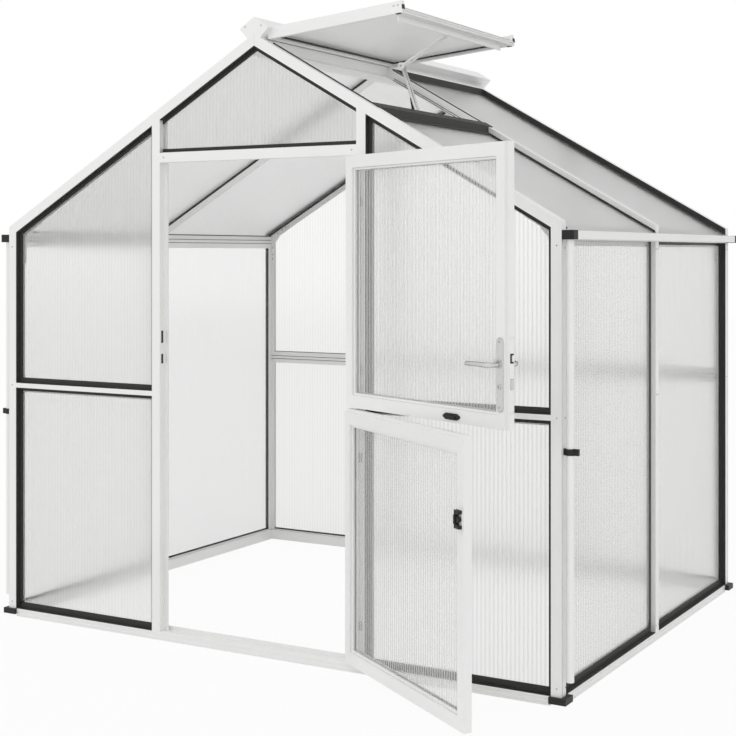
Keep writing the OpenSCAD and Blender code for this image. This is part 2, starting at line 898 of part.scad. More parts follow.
// Gaskets on one roof bay: a strip along both edges and a lining beside the rake
module roof_bay_gasket(x0) {
    y0 = front_y + profile;
    y1 = mid_y - profile / 2;
    x1 = half_w - 1;
    n0 = recess - gasket_t;
    plate_xz(slope_band(x0, x1, n0, recess), y0, y0 + gasket_w);
    plate_xz(slope_band(x0, x1, 1, recess), y0, y0 + lining_t);
    plate_xz(slope_band(x0, x1, n0, recess), y1 - gasket_by_post, y1);
    plate_xz(slope_band(x0, x0 + gasket_w, n0, recess), y0, y1);
}

// Lining of the ridge beam's side above a roof sheet
module ridge_lining() {
    plate_xz(slope_band(ridge_half, ridge_half + lining_t, 1, recess),
        front_y + profile, mid_y - profile / 2);
}

module roof_gaskets() {
    y0 = front_y + profile;
    y1 = mid_y - profile / 2;
    seal_t = 4;
    seal_gap = 0.3;
    color(rubber_col) union() {
        roof_bay_gasket(curb_end + seal_t + seal_gap);
        at_back() roof_bay_gasket(ridge_half);
        at_back() ridge_lining();
        mirror([1, 0, 0]) front_and_back() roof_bay_gasket(ridge_half);
        mirror([1, 0, 0]) front_and_back() ridge_lining();
        plate_xz(slope_band(curb_end + seat_gap, curb_end + seal_t, -seal_t, recess), y0, y1);
        difference() {
            plate_xz(slope_band(cap_half, curb_end + seal_t, -seal_t, -seat_gap),
                y0 - 2 * seal_t, vent_y1 + seal_t);
            plate_xz(slope_band(0, curb_x + seal_t, -2 * seal_t, seal_t), y0, y1);
            plate_xz(slope_band(0, curb_x + seal_t, -2 * seal_t, seal_t),
                y1 + 2 * seal_t, vent_y1 + 2 * seal_t);
        }
    }
}

// ---- Door leaves ----
// A leaf is drawn closed: X from its hinge edge, Y from its outer face, Z from the ground.

module closed_leaf() {
    translate([leaf_x, leaf_y, 0]) mirror([1, 0, 0]) children();
}

module open_leaf(angle) {
    translate([pivot_x, pivot_y, 0]) rotate([0, 0, angle]) translate([-pivot_x, -pivot_y, 0])
        closed_leaf() children();
}

leaf_sheet_y0 = leaf_t - leaf_recess - sheet_t;

module leaf_blank(z0, z1) {
    difference() {
        block([0, 0, z0], [leaf_w, leaf_t, z1]);
        block([stile_w, leaf_sheet_y0, z0 + leaf_rail_h],
            [leaf_w - stile_w, leaf_t + eps, z1 - leaf_rail_h]);
        block([stile_w + lip_w, -eps, z0 + leaf_rail_h + lip_w],
            [leaf_w - stile_w - lip_w, leaf_t, z1 - leaf_rail_h - lip_w]);
    }
}

module leaf_sheet(z0, z1) {
    block([stile_w, leaf_sheet_y0, z0 + leaf_rail_h],
        [leaf_w - stile_w, leaf_sheet_y0 + sheet_t, z1 - leaf_rail_h]);
}

// Heights of the two hinges of a leaf
function hinge_zs(z0, z1) = [z0 + hinge_in, z1 - hinge_in - 2 * knuckle_h];

// Space for the fixed knuckle and wing in the leaf's edge
module hinge_notches(z0, z1) {
    side = knuckle_r + notch_clear;
    for (z = hinge_zs(z0, z1))
        translate([-eps, -eps, z - notch_clear])
            cube([pivot_in + side + eps, side + eps, knuckle_h + notch_clear]);
}

// The leaf's own knuckles, each on top of its fixed one
module leaf_knuckles(z0, z1) {
    for (z = hinge_zs(z0, z1))
        translate([pivot_in, 0, z + knuckle_h]) cylinder(r = knuckle_r, h = knuckle_h);
}

// The pins that stand in the fixed knuckles
module leaf_pins(z0, z1) {
    for (z = hinge_zs(z0, z1))
        translate([pivot_in, 0, z]) cylinder(r = pin_r, h = knuckle_h + eps);
}

module leaf_frame(z0, z1) {
    difference() {
        union() {
            leaf_blank(z0, z1);
            leaf_knuckles(z0, z1);
        }
        hinge_notches(z0, z1);
    }
    leaf_pins(z0, z1);
}

lock_u = leaf_w + flange_w;
stile_mid = leaf_w - stile_w / 2;
latch_z = lever_z + latch_up;
bolt_z = lever_z - bolt_down;
spindle_gap = 2;

// The bore for the lever's spindle through the stile and plates
module spindle_bore(gap) {
    translate([stile_mid, -plate_t - eps, lever_z]) rotate([-90, 0, 0])
        cylinder(r = spindle_r + gap, h = leaf_t + 2 * plate_t + 2 * eps);
}

module upper_leaf_frame() {
    color(alu_col) open_leaf(upper_open) difference() {
        union() {
            leaf_frame(upper_z0, upper_z1);
            block([leaf_w - eps, 0, upper_z0], [lock_u, flange_t, upper_z1]);
        }
        spindle_bore(spindle_gap);
        lock_blank();
    }
}

module upper_leaf_sheet() {
    color(sheet_col) open_leaf(upper_open) leaf_sheet(upper_z0, upper_z1);
}

module lower_leaf_frame() {
    color(alu_col) open_leaf(lower_open) union() {
        leaf_frame(lower_z0, lower_z1);
        block([0, 0, lower_z1 - eps], [leaf_w, flange_t, lower_top]);
    }
}

module lower_leaf_sheet() {
    color(sheet_col) open_leaf(lower_open) leaf_sheet(lower_z0, lower_z1);
}

// Fixed hinge halves: a wing on the post's face and a bored knuckle
module hinge_wing() {
    wing_w = profile - wing_back;
    h = knuckle_h - knuckle_gap;
    difference() {
        union() {
            translate([pivot_x, pivot_y, 0]) cylinder(r = knuckle_r, h = h);
            block([pivot_x, front_y - wing_t, 0], [door_x + wing_w, front_y, h]);
        }
        translate([pivot_x, pivot_y, -eps]) cylinder(r = pin_r + pin_clear, h = knuckle_h);
    }
}

module hinge_wings() {
    color(steel_col) for (z = concat(hinge_zs(lower_z0, lower_z1), hinge_zs(upper_z0, upper_z1)))
        translate([0, 0, z]) hinge_wing();
}

// A long plate with round ends
module handle_plate() {
    end_z = plate_h / 2 - plate_w / 2;
    translate([stile_mid, 0, plate_z]) rotate([-90, 0, 0]) linear_extrude(plate_t) union() {
        square([plate_w, 2 * end_z], center = true);
        for (z = [-end_z, end_z]) translate([0, z]) circle(r = plate_w / 2);
    }
}

module handle_plates() {
    color(steel_col) open_leaf(upper_open) difference() {
        union() {
            translate([0, leaf_t, 0]) handle_plate();
            translate([0, -plate_t, 0]) handle_plate();
        }
        spindle_bore(pin_clear);
    }
}

// One side of the lever: a neck and an arm towards the hinges, seen from the leaf's face
module lever_side() {
    rotate([-90, 0, 0]) cylinder(r = lever_r, h = lever_out);
    translate([0, lever_out, 0]) sphere(r = lever_r);
    translate([-lever_l, lever_out, 0]) rotate([0, 90, 0]) cylinder(r = lever_r, h = lever_l);
    translate([-lever_l, lever_out, 0]) sphere(r = lever_r);
}

module lever_handle() {
    seat = plate_t + 0.3;
    color(steel_col) open_leaf(upper_open) translate([stile_mid, 0, lever_z]) union() {
        translate([0, leaf_t + seat, 0]) lever_side();
        translate([0, -seat, 0]) mirror([0, 1, 0]) lever_side();
        translate([0, -seat - eps, 0]) rotate([-90, 0, 0])
            cylinder(r = spindle_r, h = leaf_t + 2 * seat + 2 * eps);
    }
}

// Faceplate let in flush with the flange's edge
module lock_blank() {
    face_h = 250;
    face_t = 3;
    edge = 1;
    block([lock_u - face_t, edge, plate_z - edge - face_h / 2],
        [lock_u, flange_t - edge, plate_z - edge + face_h / 2]);
}

module lock() {
    color(steel_col) open_leaf(upper_open) lock_blank();
}

// Oval turn button on the upper leaf's bottom rail
module turn_latch() {
    half_l = 44;
    half_h = 11;
    thick = 12;
    along = 0.7 * leaf_w;
    color(rubber_col) open_leaf(upper_open)
        translate([along, leaf_t, upper_z0 + leaf_rail_h / 2 - 2]) rotate([-90, 0, 0])
        intersection() {
            linear_extrude(thick) union() {
                square([2 * (half_l - half_h), 2 * half_h], center = true);
                for (x = [half_h - half_l, half_l - half_h]) translate([x, 0]) circle(r = half_h);
            }
            translate([0, 0, -half_l]) cylinder(r = half_l + eps, h = 2 * half_l);
        }
}

// Rim latch on the lower leaf's free stile
module rim_latch() {
    body_w = 30;
    body_h = 60;
    body_t = 16;
    latch_mid = 725;
    color(rubber_col) open_leaf(lower_open) translate([stile_mid, leaf_t, latch_mid]) union() {
        block([-body_w / 2, 0, -body_h / 2], [body_w / 2, body_t, body_h / 2]);
        translate([0, body_t - eps, 0]) rotate([-90, 0, 0]) cylinder(r = 9, h = 12);
    }
}

base_front();
base_back();
base_sides();
base_corners();
corner_posts();
door_posts();
back_studs();
side_posts();
lintel();
front_mid_rails();
back_mid_rails();
eave_beams();
front_rakes();
back_rakes();
mid_rafters();
ridge_beam();
ridge_cap();
corner_plates();
gutters();
gutter_caps();
downpipes();
pipe_clips();
vent_curb();
vent_frame();
vent_sheet();
vent_opener();
front_sheets();
gable_sheet();
back_sheets();
side_sheets();
roof_sheets();
wall_gaskets();
roof_gaskets();
upper_leaf_frame();
upper_leaf_sheet();
lower_leaf_frame();
lower_leaf_sheet();
hinge_wings();
handle_plates();
lever_handle();
lock();
turn_latch();
rim_latch();
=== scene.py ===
import json
import math

import bmesh
import bpy
from mathutils import Matrix, Vector


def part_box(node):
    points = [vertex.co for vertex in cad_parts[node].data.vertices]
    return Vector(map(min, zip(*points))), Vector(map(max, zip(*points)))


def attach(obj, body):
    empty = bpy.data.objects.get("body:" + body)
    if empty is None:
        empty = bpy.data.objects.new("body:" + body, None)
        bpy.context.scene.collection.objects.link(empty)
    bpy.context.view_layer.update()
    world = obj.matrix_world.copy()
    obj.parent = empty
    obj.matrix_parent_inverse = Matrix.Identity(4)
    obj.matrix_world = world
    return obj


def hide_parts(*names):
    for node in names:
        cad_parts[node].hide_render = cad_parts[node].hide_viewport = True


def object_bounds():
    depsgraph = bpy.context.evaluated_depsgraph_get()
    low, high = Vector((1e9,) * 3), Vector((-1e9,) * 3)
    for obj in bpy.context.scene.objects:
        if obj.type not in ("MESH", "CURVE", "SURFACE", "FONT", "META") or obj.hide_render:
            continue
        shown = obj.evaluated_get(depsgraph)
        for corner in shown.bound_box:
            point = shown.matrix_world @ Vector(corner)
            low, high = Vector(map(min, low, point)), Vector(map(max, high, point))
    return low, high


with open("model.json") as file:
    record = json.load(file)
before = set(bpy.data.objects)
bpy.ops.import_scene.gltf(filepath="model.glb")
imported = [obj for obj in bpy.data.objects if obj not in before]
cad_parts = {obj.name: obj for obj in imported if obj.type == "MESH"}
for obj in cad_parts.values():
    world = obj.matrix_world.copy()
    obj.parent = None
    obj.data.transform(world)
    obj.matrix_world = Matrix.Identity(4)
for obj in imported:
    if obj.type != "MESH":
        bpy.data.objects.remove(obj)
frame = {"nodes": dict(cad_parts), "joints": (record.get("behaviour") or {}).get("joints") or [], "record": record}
cad_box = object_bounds()

UP = Vector((0, 0, 1))
RIGHT = Vector((1, 0, 0))
BACK = Vector((0, 1, 0))
INSIDE = Vector((0, (cad_box[0][1] + cad_box[1][1]) / 2, 1.0))  # a point within the walls
WHITE = (1.0, 1.0, 1.0, 1.0)
PROFILE = 0.04    # width of the wall's extrusions
RIB_PITCH = 0.0166
WEB_INSET = 0.0006    # the webs stop this far inside the skins


# ---- Camera ----

CAMERA_PLACE = (3.218, -4.707, 1.576)
CAMERA_TURN = 30.01    # degrees round from straight on
CAMERA_LENS = 70.8     # mm
CAMERA_SHIFT = -0.1563
SENSOR_WIDTH = 36      # mm


def make_camera():
    """A level camera at the photograph's angle. Its shift keeps the posts parallel."""
    data = bpy.data.cameras.new("camera")
    data.sensor_width = SENSOR_WIDTH
    data.lens = CAMERA_LENS
    data.shift_y = CAMERA_SHIFT
    data.clip_end = 60
    camera = bpy.data.objects.new("camera", data)
    camera.location = CAMERA_PLACE
    camera.rotation_euler = (math.radians(90), 0, math.radians(CAMERA_TURN))
    bpy.context.collection.objects.link(camera)
    bpy.context.scene.camera = camera


# ---- Node helpers ----

def blank_tree(owner):
    """The node tree of a material or world, emptied."""
    owner.use_nodes = True
    owner.node_tree.nodes.clear()
    return owner.node_tree


def new_material(name):
    """A node material that holds only a Principled shader, and that shader."""
    material = bpy.data.materials.new(name)
    tree = blank_tree(material)
    shader = tree.nodes.new("ShaderNodeBsdfPrincipled")
    finish_tree(tree, "ShaderNodeOutputMaterial", shader.outputs["BSDF"])
    return material, shader


def finish_tree(tree, output_kind, surface):
    """An output node that takes a shader as its surface."""
    output = tree.nodes.new(output_kind)
    tree.links.new(surface, output.inputs["Surface"])


def feed(tree, value, socket):
    """Links another node's output to a socket, or sets a plain number on it."""
    if isinstance(value, bpy.types.NodeSocket):
        tree.links.new(value, socket)
    else:
        socket.default_value = value


def calculate(tree, operation, *values, clamp=False):
    """A math node on values that are numbers or other nodes' outputs."""
    node = tree.nodes.new("ShaderNodeMath")
    node.operation = operation
    node.use_clamp = clamp
    for socket, value in zip(node.inputs, values):
        feed(tree, value, socket)
    return node.outputs[0]


def mix_shaders(tree, first, second, share):
    """Two shader nodes mixed, where share is how much of the second shows."""
    node = tree.nodes.new("ShaderNodeMixShader")
    feed(tree, share, node.inputs["Fac"])
    tree.links.new(first.outputs[0], node.inputs[1])
    tree.links.new(second.outputs[0], node.inputs[2])
    return node.outputs[0]


def multiply(tree, first, second):
    """Two colours multiplied."""
    node = tree.nodes.new("ShaderNodeMixRGB")
    node.blend_type = "MULTIPLY"
    node.inputs["Fac"].default_value = 1
    tree.links.new(first, node.inputs[1])
    tree.links.new(second, node.inputs[2])
    return node.outputs[0]


def noise(tree, scale, stretch=(1, 1, 1), coordinates="Object", detail=2.0):
    """A noise texture on stretched object or UV coordinates."""
    source = tree.nodes.new("ShaderNodeTexCoord")
    mapping = tree.nodes.new("ShaderNodeMapping")
    mapping.inputs["Scale"].default_value = stretch
    texture = tree.nodes.new("ShaderNodeTexNoise")
    texture.inputs["Scale"].default_value = scale
    texture.inputs["Detail"].default_value = detail
    tree.links.new(source.outputs[coordinates], mapping.inputs["Vector"])
    tree.links.new(mapping.outputs["Vector"], texture.inputs["Vector"])
    return texture.outputs["Fac"]


def ramp(tree, value, low, high, start=0.3, end=0.7):
    """A value turned into a colour that runs from low to high."""
    node = tree.nodes.new("ShaderNodeValToRGB")
    for element, place, colour in zip(node.color_ramp.elements, (start, end), (low, high)):
        element.position = place
        element.color = (*colour, 1)
    tree.links.new(value, node.inputs["Fac"])
    return node.outputs["Color"]


def bump(tree, height, shader, strength, distance):
    """A height, as relief on a shader."""
    node = tree.nodes.new("ShaderNodeBump")
    node.inputs["Strength"].default_value = strength
    node.inputs["Distance"].default_value = distance
    tree.links.new(height, node.inputs["Height"])
    tree.links.new(node.outputs["Normal"], shader.inputs["Normal"])


def grey(value):
    """A grey that is very slightly warm."""
    return (value, value, value * 0.992)


# ---- Materials ----

GRAIN_DEPTH = 0.0004
STREAKS = (0.7, 0.02, 1)    # noise drawn out along the ribs


def satin_metal(name, tone, metallic, roughness, grain=60.0, relief=0.04, rim=1.0):
    """Mill-finish or brushed metal with a faint grain and uneven sheen."""
    material, shader = new_material(name)
    tree = material.node_tree
    shader.inputs["Metallic"].default_value = metallic
    shader.inputs["Specular Tint"].default_value = (rim, rim, rim, 1)
    fine = noise(tree, grain, detail=4.0)
    colour = ramp(tree, noise(tree, 2.2), grey(tone * 0.965), grey(tone))
    sheen = ramp(tree, fine, grey(roughness * 0.85), grey(roughness * 1.15))
    tree.links.new(colour, shader.inputs["Base Color"])
    tree.links.new(sheen, shader.inputs["Roughness"])
    bump(tree, fine, shader, relief, GRAIN_DEPTH)
    return material


def black_rubber(name, tone, roughness):
    """Moulded rubber or plastic with a fine grain."""
    material, shader = new_material(name)
    tree = material.node_tree
    grain = noise(tree, 420.0, detail=3.0)
    warm = (tone, tone * 0.98, tone * 0.94)
    dark = tuple(0.8 * part for part in warm)
    tree.links.new(ramp(tree, grain, dark, warm), shader.inputs["Base Color"])
    shader.inputs["Roughness"].default_value = roughness
    shader.inputs["Specular IOR Level"].default_value = 0.3
    bump(tree, grain, shader, 0.15, GRAIN_DEPTH)
    return material


def rib_coordinate(tree):
    """Distance from the nearest rib, 0 on the rib to 0.5 midway."""
    source = tree.nodes.new("ShaderNodeTexCoord")
    split = tree.nodes.new("ShaderNodeSeparateXYZ")
    tree.links.new(source.outputs["UV"], split.inputs["Vector"])
    return calculate(tree, "PINGPONG", split.outputs["X"], 0.5)


def sheet_skin(name, ior, roughness, line_tone, line_width, on_rib=0.88, between=1.0):
    """Twin-wall skin: clear between the ribs, milky along each rib, with an uneven tone."""
    material, shader = new_material(name)
    tree = material.node_tree
    shader.inputs["IOR"].default_value = ior
    shader.inputs["Roughness"].default_value = roughness
    near_rib = rib_coordinate(tree)
    lines = ramp(tree, near_rib, grey(line_tone), (1, 1, 0.998), line_width * 0.35, line_width)
    uneven = noise(tree, 1.0, STREAKS, "UV", detail=3.0)
    tone = ramp(tree, uneven, (0.985, 0.986, 0.984), (1, 1, 1))
    clear = ramp(tree, near_rib, (on_rib,) * 3, (between,) * 3, 0.06, 0.2)
    tree.links.new(multiply(tree, lines, tone), shader.inputs["Base Color"])
    tree.links.new(clear, shader.inputs["Transmission Weight"])
    return material


def sheet_web(name):
    """The thin walls between the two skins: clear, with a milky share lit from both sides."""
    material = bpy.data.materials.new(name)
    tree = blank_tree(material)
    uneven = noise(tree, 1.0, STREAKS, "UV")
    tone = ramp(tree, uneven, (0.985, 0.987, 0.985), (1, 1, 0.998))
    clear = tree.nodes.new("ShaderNodeBsdfTransparent")
    milky = tree.nodes.new("ShaderNodeBsdfTranslucent")
    tree.links.new(tone, clear.inputs["Color"])
    tree.links.new(tone, milky.inputs["Color"])
    finish_tree(tree, "ShaderNodeOutputMaterial", mix_shaders(tree, clear, milky, 0.08))
    return material


ALUMINIUM = satin_metal("mill_aluminium", tone=0.93, metallic=0.25, roughness=0.42)
STEEL = satin_metal("satin_steel", tone=0.66, metallic=1.0, roughness=0.26, grain=40.0,
                    relief=0.0, rim=0.2)
PLASTIC = black_rubber("black_plastic", tone=0.022, roughness=0.5)
RUBBER = black_rubber("gasket_rubber", tone=0.046, roughness=0.6)
SKIN = sheet_skin("twin_wall_skin", ior=1.16, roughness=0.3, line_tone=0.84, line_width=0.12)
SIDE_SKIN = sheet_skin("side_twin_wall_skin", ior=1.16, roughness=0.22, line_tone=0.74,
                       line_width=0.16)
ROOF_SKIN = sheet_skin("roof_twin_wall_skin", ior=1.16, roughness=0.28, line_tone=0.6,
                       line_width=0.26)
LEAF_SKIN = sheet_skin("leaf_twin_wall_skin", ior=1.08, roughness=0.14, line_tone=0.88,
                       line_width=0.12, on_rib=0.5, between=0.86)
WEB = sheet_web("twin_wall_web")

MATERIAL_OF_SLOT = {
    "aluminium": ALUMINIUM,
    "steel": STEEL,
    "black_plastic": PLASTIC,
    "gasket_rubber": RUBBER,
    "polycarbonate": SKIN,
}


def dress_cad_nodes():
    """Each CAD node gets the finish of its slot."""
    for part in frame["record"]["subparts"]:
        node = frame["nodes"][part["node"]]
        node.data.materials.clear()
        node.data.materials.append(MATERIAL_OF_SLOT[part["material_slot"]])


# ---- Meshes ----

def add_object(name, mesh, body, slot_name, *materials):
    """A piece that rides a body, with the materials given."""
    for material in materials:
        mesh.materials.append(material)
    piece = bpy.data.objects.new(name, mesh)
    bpy.context.collection.objects.link(piece)
    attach(piece, body)
    return piece


def solids_of(node):
    """Each separate solid of a CAD node: its corner points and its widest face's normal."""
    source = bmesh.new()
    source.from_mesh(frame["nodes"][node].data)
    bmesh.ops.remove_doubles(source, verts=source.verts, dist=1e-6)
    seen = set()
    for start in source.verts:
        if start in seen:
            continue
        group, queue = [], [start]
        seen.add(start)
        while queue:
            vert = queue.pop()
            group.append(vert)
            for edge in vert.link_edges:
                other = edge.other_vert(vert)
                if other not in seen:
                    seen.add(other)
                    queue.append(other)
        # A dictionary keeps the mesh's order, so equal faces give the same answer each run.
        faces = dict.fromkeys(face for vert in group for face in vert.link_faces)
        widest = max(faces, key=lambda face: face.calc_area())
        yield [vert.co.copy() for vert in group], widest.normal.copy()
    source.free()


def sheet_axes(normal):
    """The directions up a sheet and across it."""
    along = (UP - normal * normal.z).normalized()
    return along, along.cross(normal)


def outline(points, across, along):
    """Convex outline of points in the plane of two axes, in order."""
    flat = [(p.dot(across), p.dot(along)) for p in points]
    flat = sorted(set((round(a, 6), round(b, 6)) for a, b in flat))

    def half(items):
        chain = []
        for item in items:
            while len(chain) > 1:
                (ax, ay), (bx, by) = chain[-2:]
                turn = (bx - ax) * (item[1] - ay) - (by - ay) * (item[0] - ax)
                if turn > 1e-9:
                    break
                chain.pop()
            chain.append(item)
        return chain[:-1]

    return half(flat) + half(flat[::-1])


def span_at(corners, a):
    """Lowest and highest point of an outline at one place across."""
    hits = []
    for (a0, b0), (a1, b1) in zip(corners, corners[1:] + corners[:1]):
        if (a0 - a) * (a1 - a) < 0:
            hits.append(b0 + (b1 - b0) * (a - a0) / (a1 - a0))
    return min(hits), max(hits)


SKIN_INDEX, WEB_INDEX = 0, 1    # a ribbed sheet's material indices


def add_ribbed_sheet(bm, uv_layer, points, normal):
    """One flat sheet as two skins, its edges and the webs between. UV counts ribs, then metres."""
    along, across = sheet_axes(normal)
    corners = outline(points, across, along)
    low = min(p.dot(normal) for p in points)
    high = max(p.dot(normal) for p in points)
    first = min(a for a, _ in corners)
    last = max(a for a, _ in corners)
    count = int((last - first) / RIB_PITCH)
    first_rib = first + (last - first - (count - 1) * RIB_PITCH) / 2

    def face(corner_list, material_index):
        made = bm.faces.new([bm.verts.new(across * a + along * b + normal * depth)
                             for a, b, depth in corner_list])
        made.material_index = material_index
        for loop, (a, b, _) in zip(made.loops, corner_list):
            loop[uv_layer].uv = ((a - first_rib) / RIB_PITCH, b)

    face([(a, b, high) for a, b in corners], SKIN_INDEX)
    face([(a, b, low) for a, b in corners[::-1]], SKIN_INDEX)
    for (a0, b0), (a1, b1) in zip(corners, corners[1:] + corners[:1]):
        face([(a0, b0, low), (a1, b1, low), (a1, b1, high), (a0, b0, high)], SKIN_INDEX)
    d0, d1 = low + WEB_INSET, high - WEB_INSET
    for index in range(count):
        a = first_rib + index * RIB_PITCH
        b0, b1 = span_at(corners, a)
        b0, b1 = b0 + WEB_INSET, b1 - WEB_INSET
        face([(a, b0, d0), (a, b1, d0), (a, b1, d1), (a, b0, d1)], WEB_INDEX)


def twin_wall(node, body, skin_material):
    """Each solid sheet of a node becomes a ribbed twin-wall sheet of the same size."""
    mesh = bpy.data.meshes.new(node + "_ribbed")
    bm = bmesh.new()
    uv_layer = bm.loops.layers.uv.new("sheet")
    for points, normal in solids_of(node):
        add_ribbed_sheet(bm, uv_layer, points, normal)
    bmesh.ops.remove_doubles(bm, verts=bm.verts, dist=1e-7)
    bm.to_mesh(mesh)
    bm.free()
    piece = add_object(node + "_ribbed", mesh, body, "polycarbonate", skin_material, WEB)
    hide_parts(node)


# ---- Small shapes ----
# Each is drawn in a seat: X across, Y up and Z out of the surface that it sits on.

def seat(origin, out, up=UP):
    """The matrix that puts a shape at a point of a surface, facing out of it."""
    out = out.normalized()
    across = up.cross(out).normalized()
    matrix = Matrix((across, out.cross(across), out)).transposed().to_4x4()
    matrix.translation = origin
    return matrix


def finish_piece(name, bm, body, slot_name, material, angle=35):
    """The drawn mesh as a piece, smooth but for edges sharper than an angle in degrees."""
    mesh = bpy.data.meshes.new(name)
    bm.to_mesh(mesh)
    bm.free()
    mesh.shade_smooth()
    mesh.set_sharp_from_angle(angle=math.radians(angle))
    return add_object(name, mesh, body, slot_name, material)


def skin(bm, matrix, rings):
    """A closed body through rings of points, the first and last ring capped."""
    verts = [[bm.verts.new(matrix @ Vector(point)) for point in ring] for ring in rings]
    count = len(rings[0])
    for low, high in zip(verts, verts[1:]):
        for index in range(count):
            after = (index + 1) % count
            bm.faces.new((low[index], low[after], high[after], high[index]))
    bm.faces.new(verts[0][::-1])
    bm.faces.new(verts[-1])


def ring(shape, height):
    """A flat shape's points at a height."""
    return [(x, y, height) for x, y in shape]


def rounded(width, height, radius, steps=5):
    """A rectangle with round corners."""
    points = []
    for index, (sx, sy) in enumerate(((1, 1), (-1, 1), (-1, -1), (1, -1))):
        for step in range(steps + 1):
            turn = math.radians(90 * (index + step / steps))
            points.append((sx * (width / 2 - radius) + radius * math.cos(turn),
                           sy * (height / 2 - radius) + radius * math.sin(turn)))
    return points


def disc(radius, sides=16):
    """A circle's points."""
    return [(radius * math.cos(math.tau * k / sides), radius * math.sin(math.tau * k / sides))
            for k in range(sides)]


def scaled(shape, share):
    """A flat shape at a share of its size."""
    return [(x * share, y * share) for x, y in shape]


def turned(bm, matrix, profile, sides=24):
    """A turned body, its profile given as (radius, height) pairs from the foot up."""
    skin(bm, matrix, [ring(disc(radius, sides), height) for radius, height in profile])


def plate(bm, matrix, width, height, thick, radius, edge=0.0008):
    """A rounded plate with a chamfered rim."""
    skin(bm, matrix, [ring(rounded(width, height, radius), 0),
                      ring(rounded(width, height, radius), thick - edge),
                      ring(rounded(width - 2 * edge, height - 2 * edge, radius - edge), thick)])


def rimmed_plate(bm, matrix, width, height, thick, radius, rim, sink):
    """A rounded plate whose face is sunk inside a raised rim."""
    full = rounded(width, height, radius)
    inner = rounded(width - 2 * rim, height - 2 * rim, radius - rim)
    floor_line = rounded(width - 2.8 * rim, height - 2.8 * rim, radius - 1.4 * rim)
    soft = rounded(width - rim * 0.6, height - rim * 0.6, radius - rim * 0.3)
    skin(bm, matrix, [ring(full, 0), ring(full, thick * 0.7), ring(soft, thick),
                      ring(inner, thick), ring(floor_line, thick - sink)])


def screw(bm, matrix, radius):
    """A domed screw head with a sunk socket."""
    sunk = 0.0004
    turned(bm, matrix, ((radius, -sunk), (radius, radius * 0.25), (radius * 0.84, radius * 0.5),
                        (radius * 0.46, radius * 0.62), (radius * 0.4, radius * 0.3)), sides=16)


def bar(bm, start, end, side, width, height, edge=0.0006):
    """A chamfered bar from start to end, side giving its width's direction."""
    run = end - start
    matrix = seat(start, run, up=side.cross(run))
    full = ((width / 2, height / 2 - edge), (width / 2 - edge, height / 2),
            (edge - width / 2, height / 2), (-width / 2, height / 2 - edge),
            (-width / 2, edge - height / 2), (edge - width / 2, -height / 2),
            (width / 2 - edge, -height / 2), (width / 2, edge - height / 2))
    skin(bm, matrix, [ring(full, 0), ring(full, run.length)])


def tube(bm, points, radii, sides=16, flat=1.0, side=UP):
    """A tube through points, oval where flat isn't 1, with domed ends."""
    last = len(points) - 1
    stations = []
    for index, (point, radius) in enumerate(zip(points, radii)):
        run = (points[min(index + 1, last)] - points[max(index - 1, 0)]).normalized()
        stations.append((point, run, radius))
    domed = [(stations[0], -0.5, 0.55), (stations[0], -0.2, 0.88)]
    domed += [(station, 0, 1) for station in stations]
    domed += [(stations[-1], 0.2, 0.88), (stations[-1], 0.5, 0.55)]
    loops = []
    for (point, run, radius), push, share in domed:
        across = run.cross(side).normalized()
        other = across.cross(run)
        centre = point + run * radius * push
        loops.append([centre + across * (x * share * radius * flat)
                      + other * (y * share * radius) for x, y in disc(1, sides)])
    skin(bm, Matrix.Identity(4), loops)


# ---- Strips along the edges of the sheets ----

def inset_outline(corners, distance):
    """A convex outline, turning left, moved in by distance."""
    lines = []
    for (x0, y0), (x1, y1) in zip(corners, corners[1:] + corners[:1]):
        long = math.hypot(x1 - x0, y1 - y0)
        dx, dy = (x1 - x0) / long, (y1 - y0) / long
        lines.append((x0 - dy * distance, y0 + dx * distance, dx, dy))
    moved = []
    for index, (x1, y1, dx1, dy1) in enumerate(lines):
        x0, y0, dx0, dy0 = lines[index - 1]
        share = ((x1 - x0) * dy1 - (y1 - y0) * dx1) / (dx0 * dy1 - dy0 * dx1)
        moved.append((x0 + dx0 * share, y0 + dy0 * share))
    return moved


def tidy_outline(corners):
    """The outline without points that lie on a straight edge."""
    kept = []
    for index, (x1, y1) in enumerate(corners):
        x0, y0 = corners[index - 1]
        x2, y2 = corners[(index + 1) % len(corners)]
        if abs((x1 - x0) * (y2 - y1) - (y1 - y0) * (x2 - x1)) > 1e-6:
            kept.append((x1, y1))
    return kept


def groove(bm, start, end, side, out, groove_shade=None):
    """A fine channel between two ribs on a face. A mesh given as the last argument gets a dark strip in the
    channel, as painted shade.
    """
    # The dark strip paints the shade at the floor of the channel.
    if groove_shade is not None:
        bar(groove_shade, start, end, out, width=0.0022, height=0.0022, edge=0.0003)
    for sign in (-1, 1):
        shift = side.normalized() * sign * 0.0032
        bar(bm, start + shift, end + shift, out, width=0.004, height=0.0036)


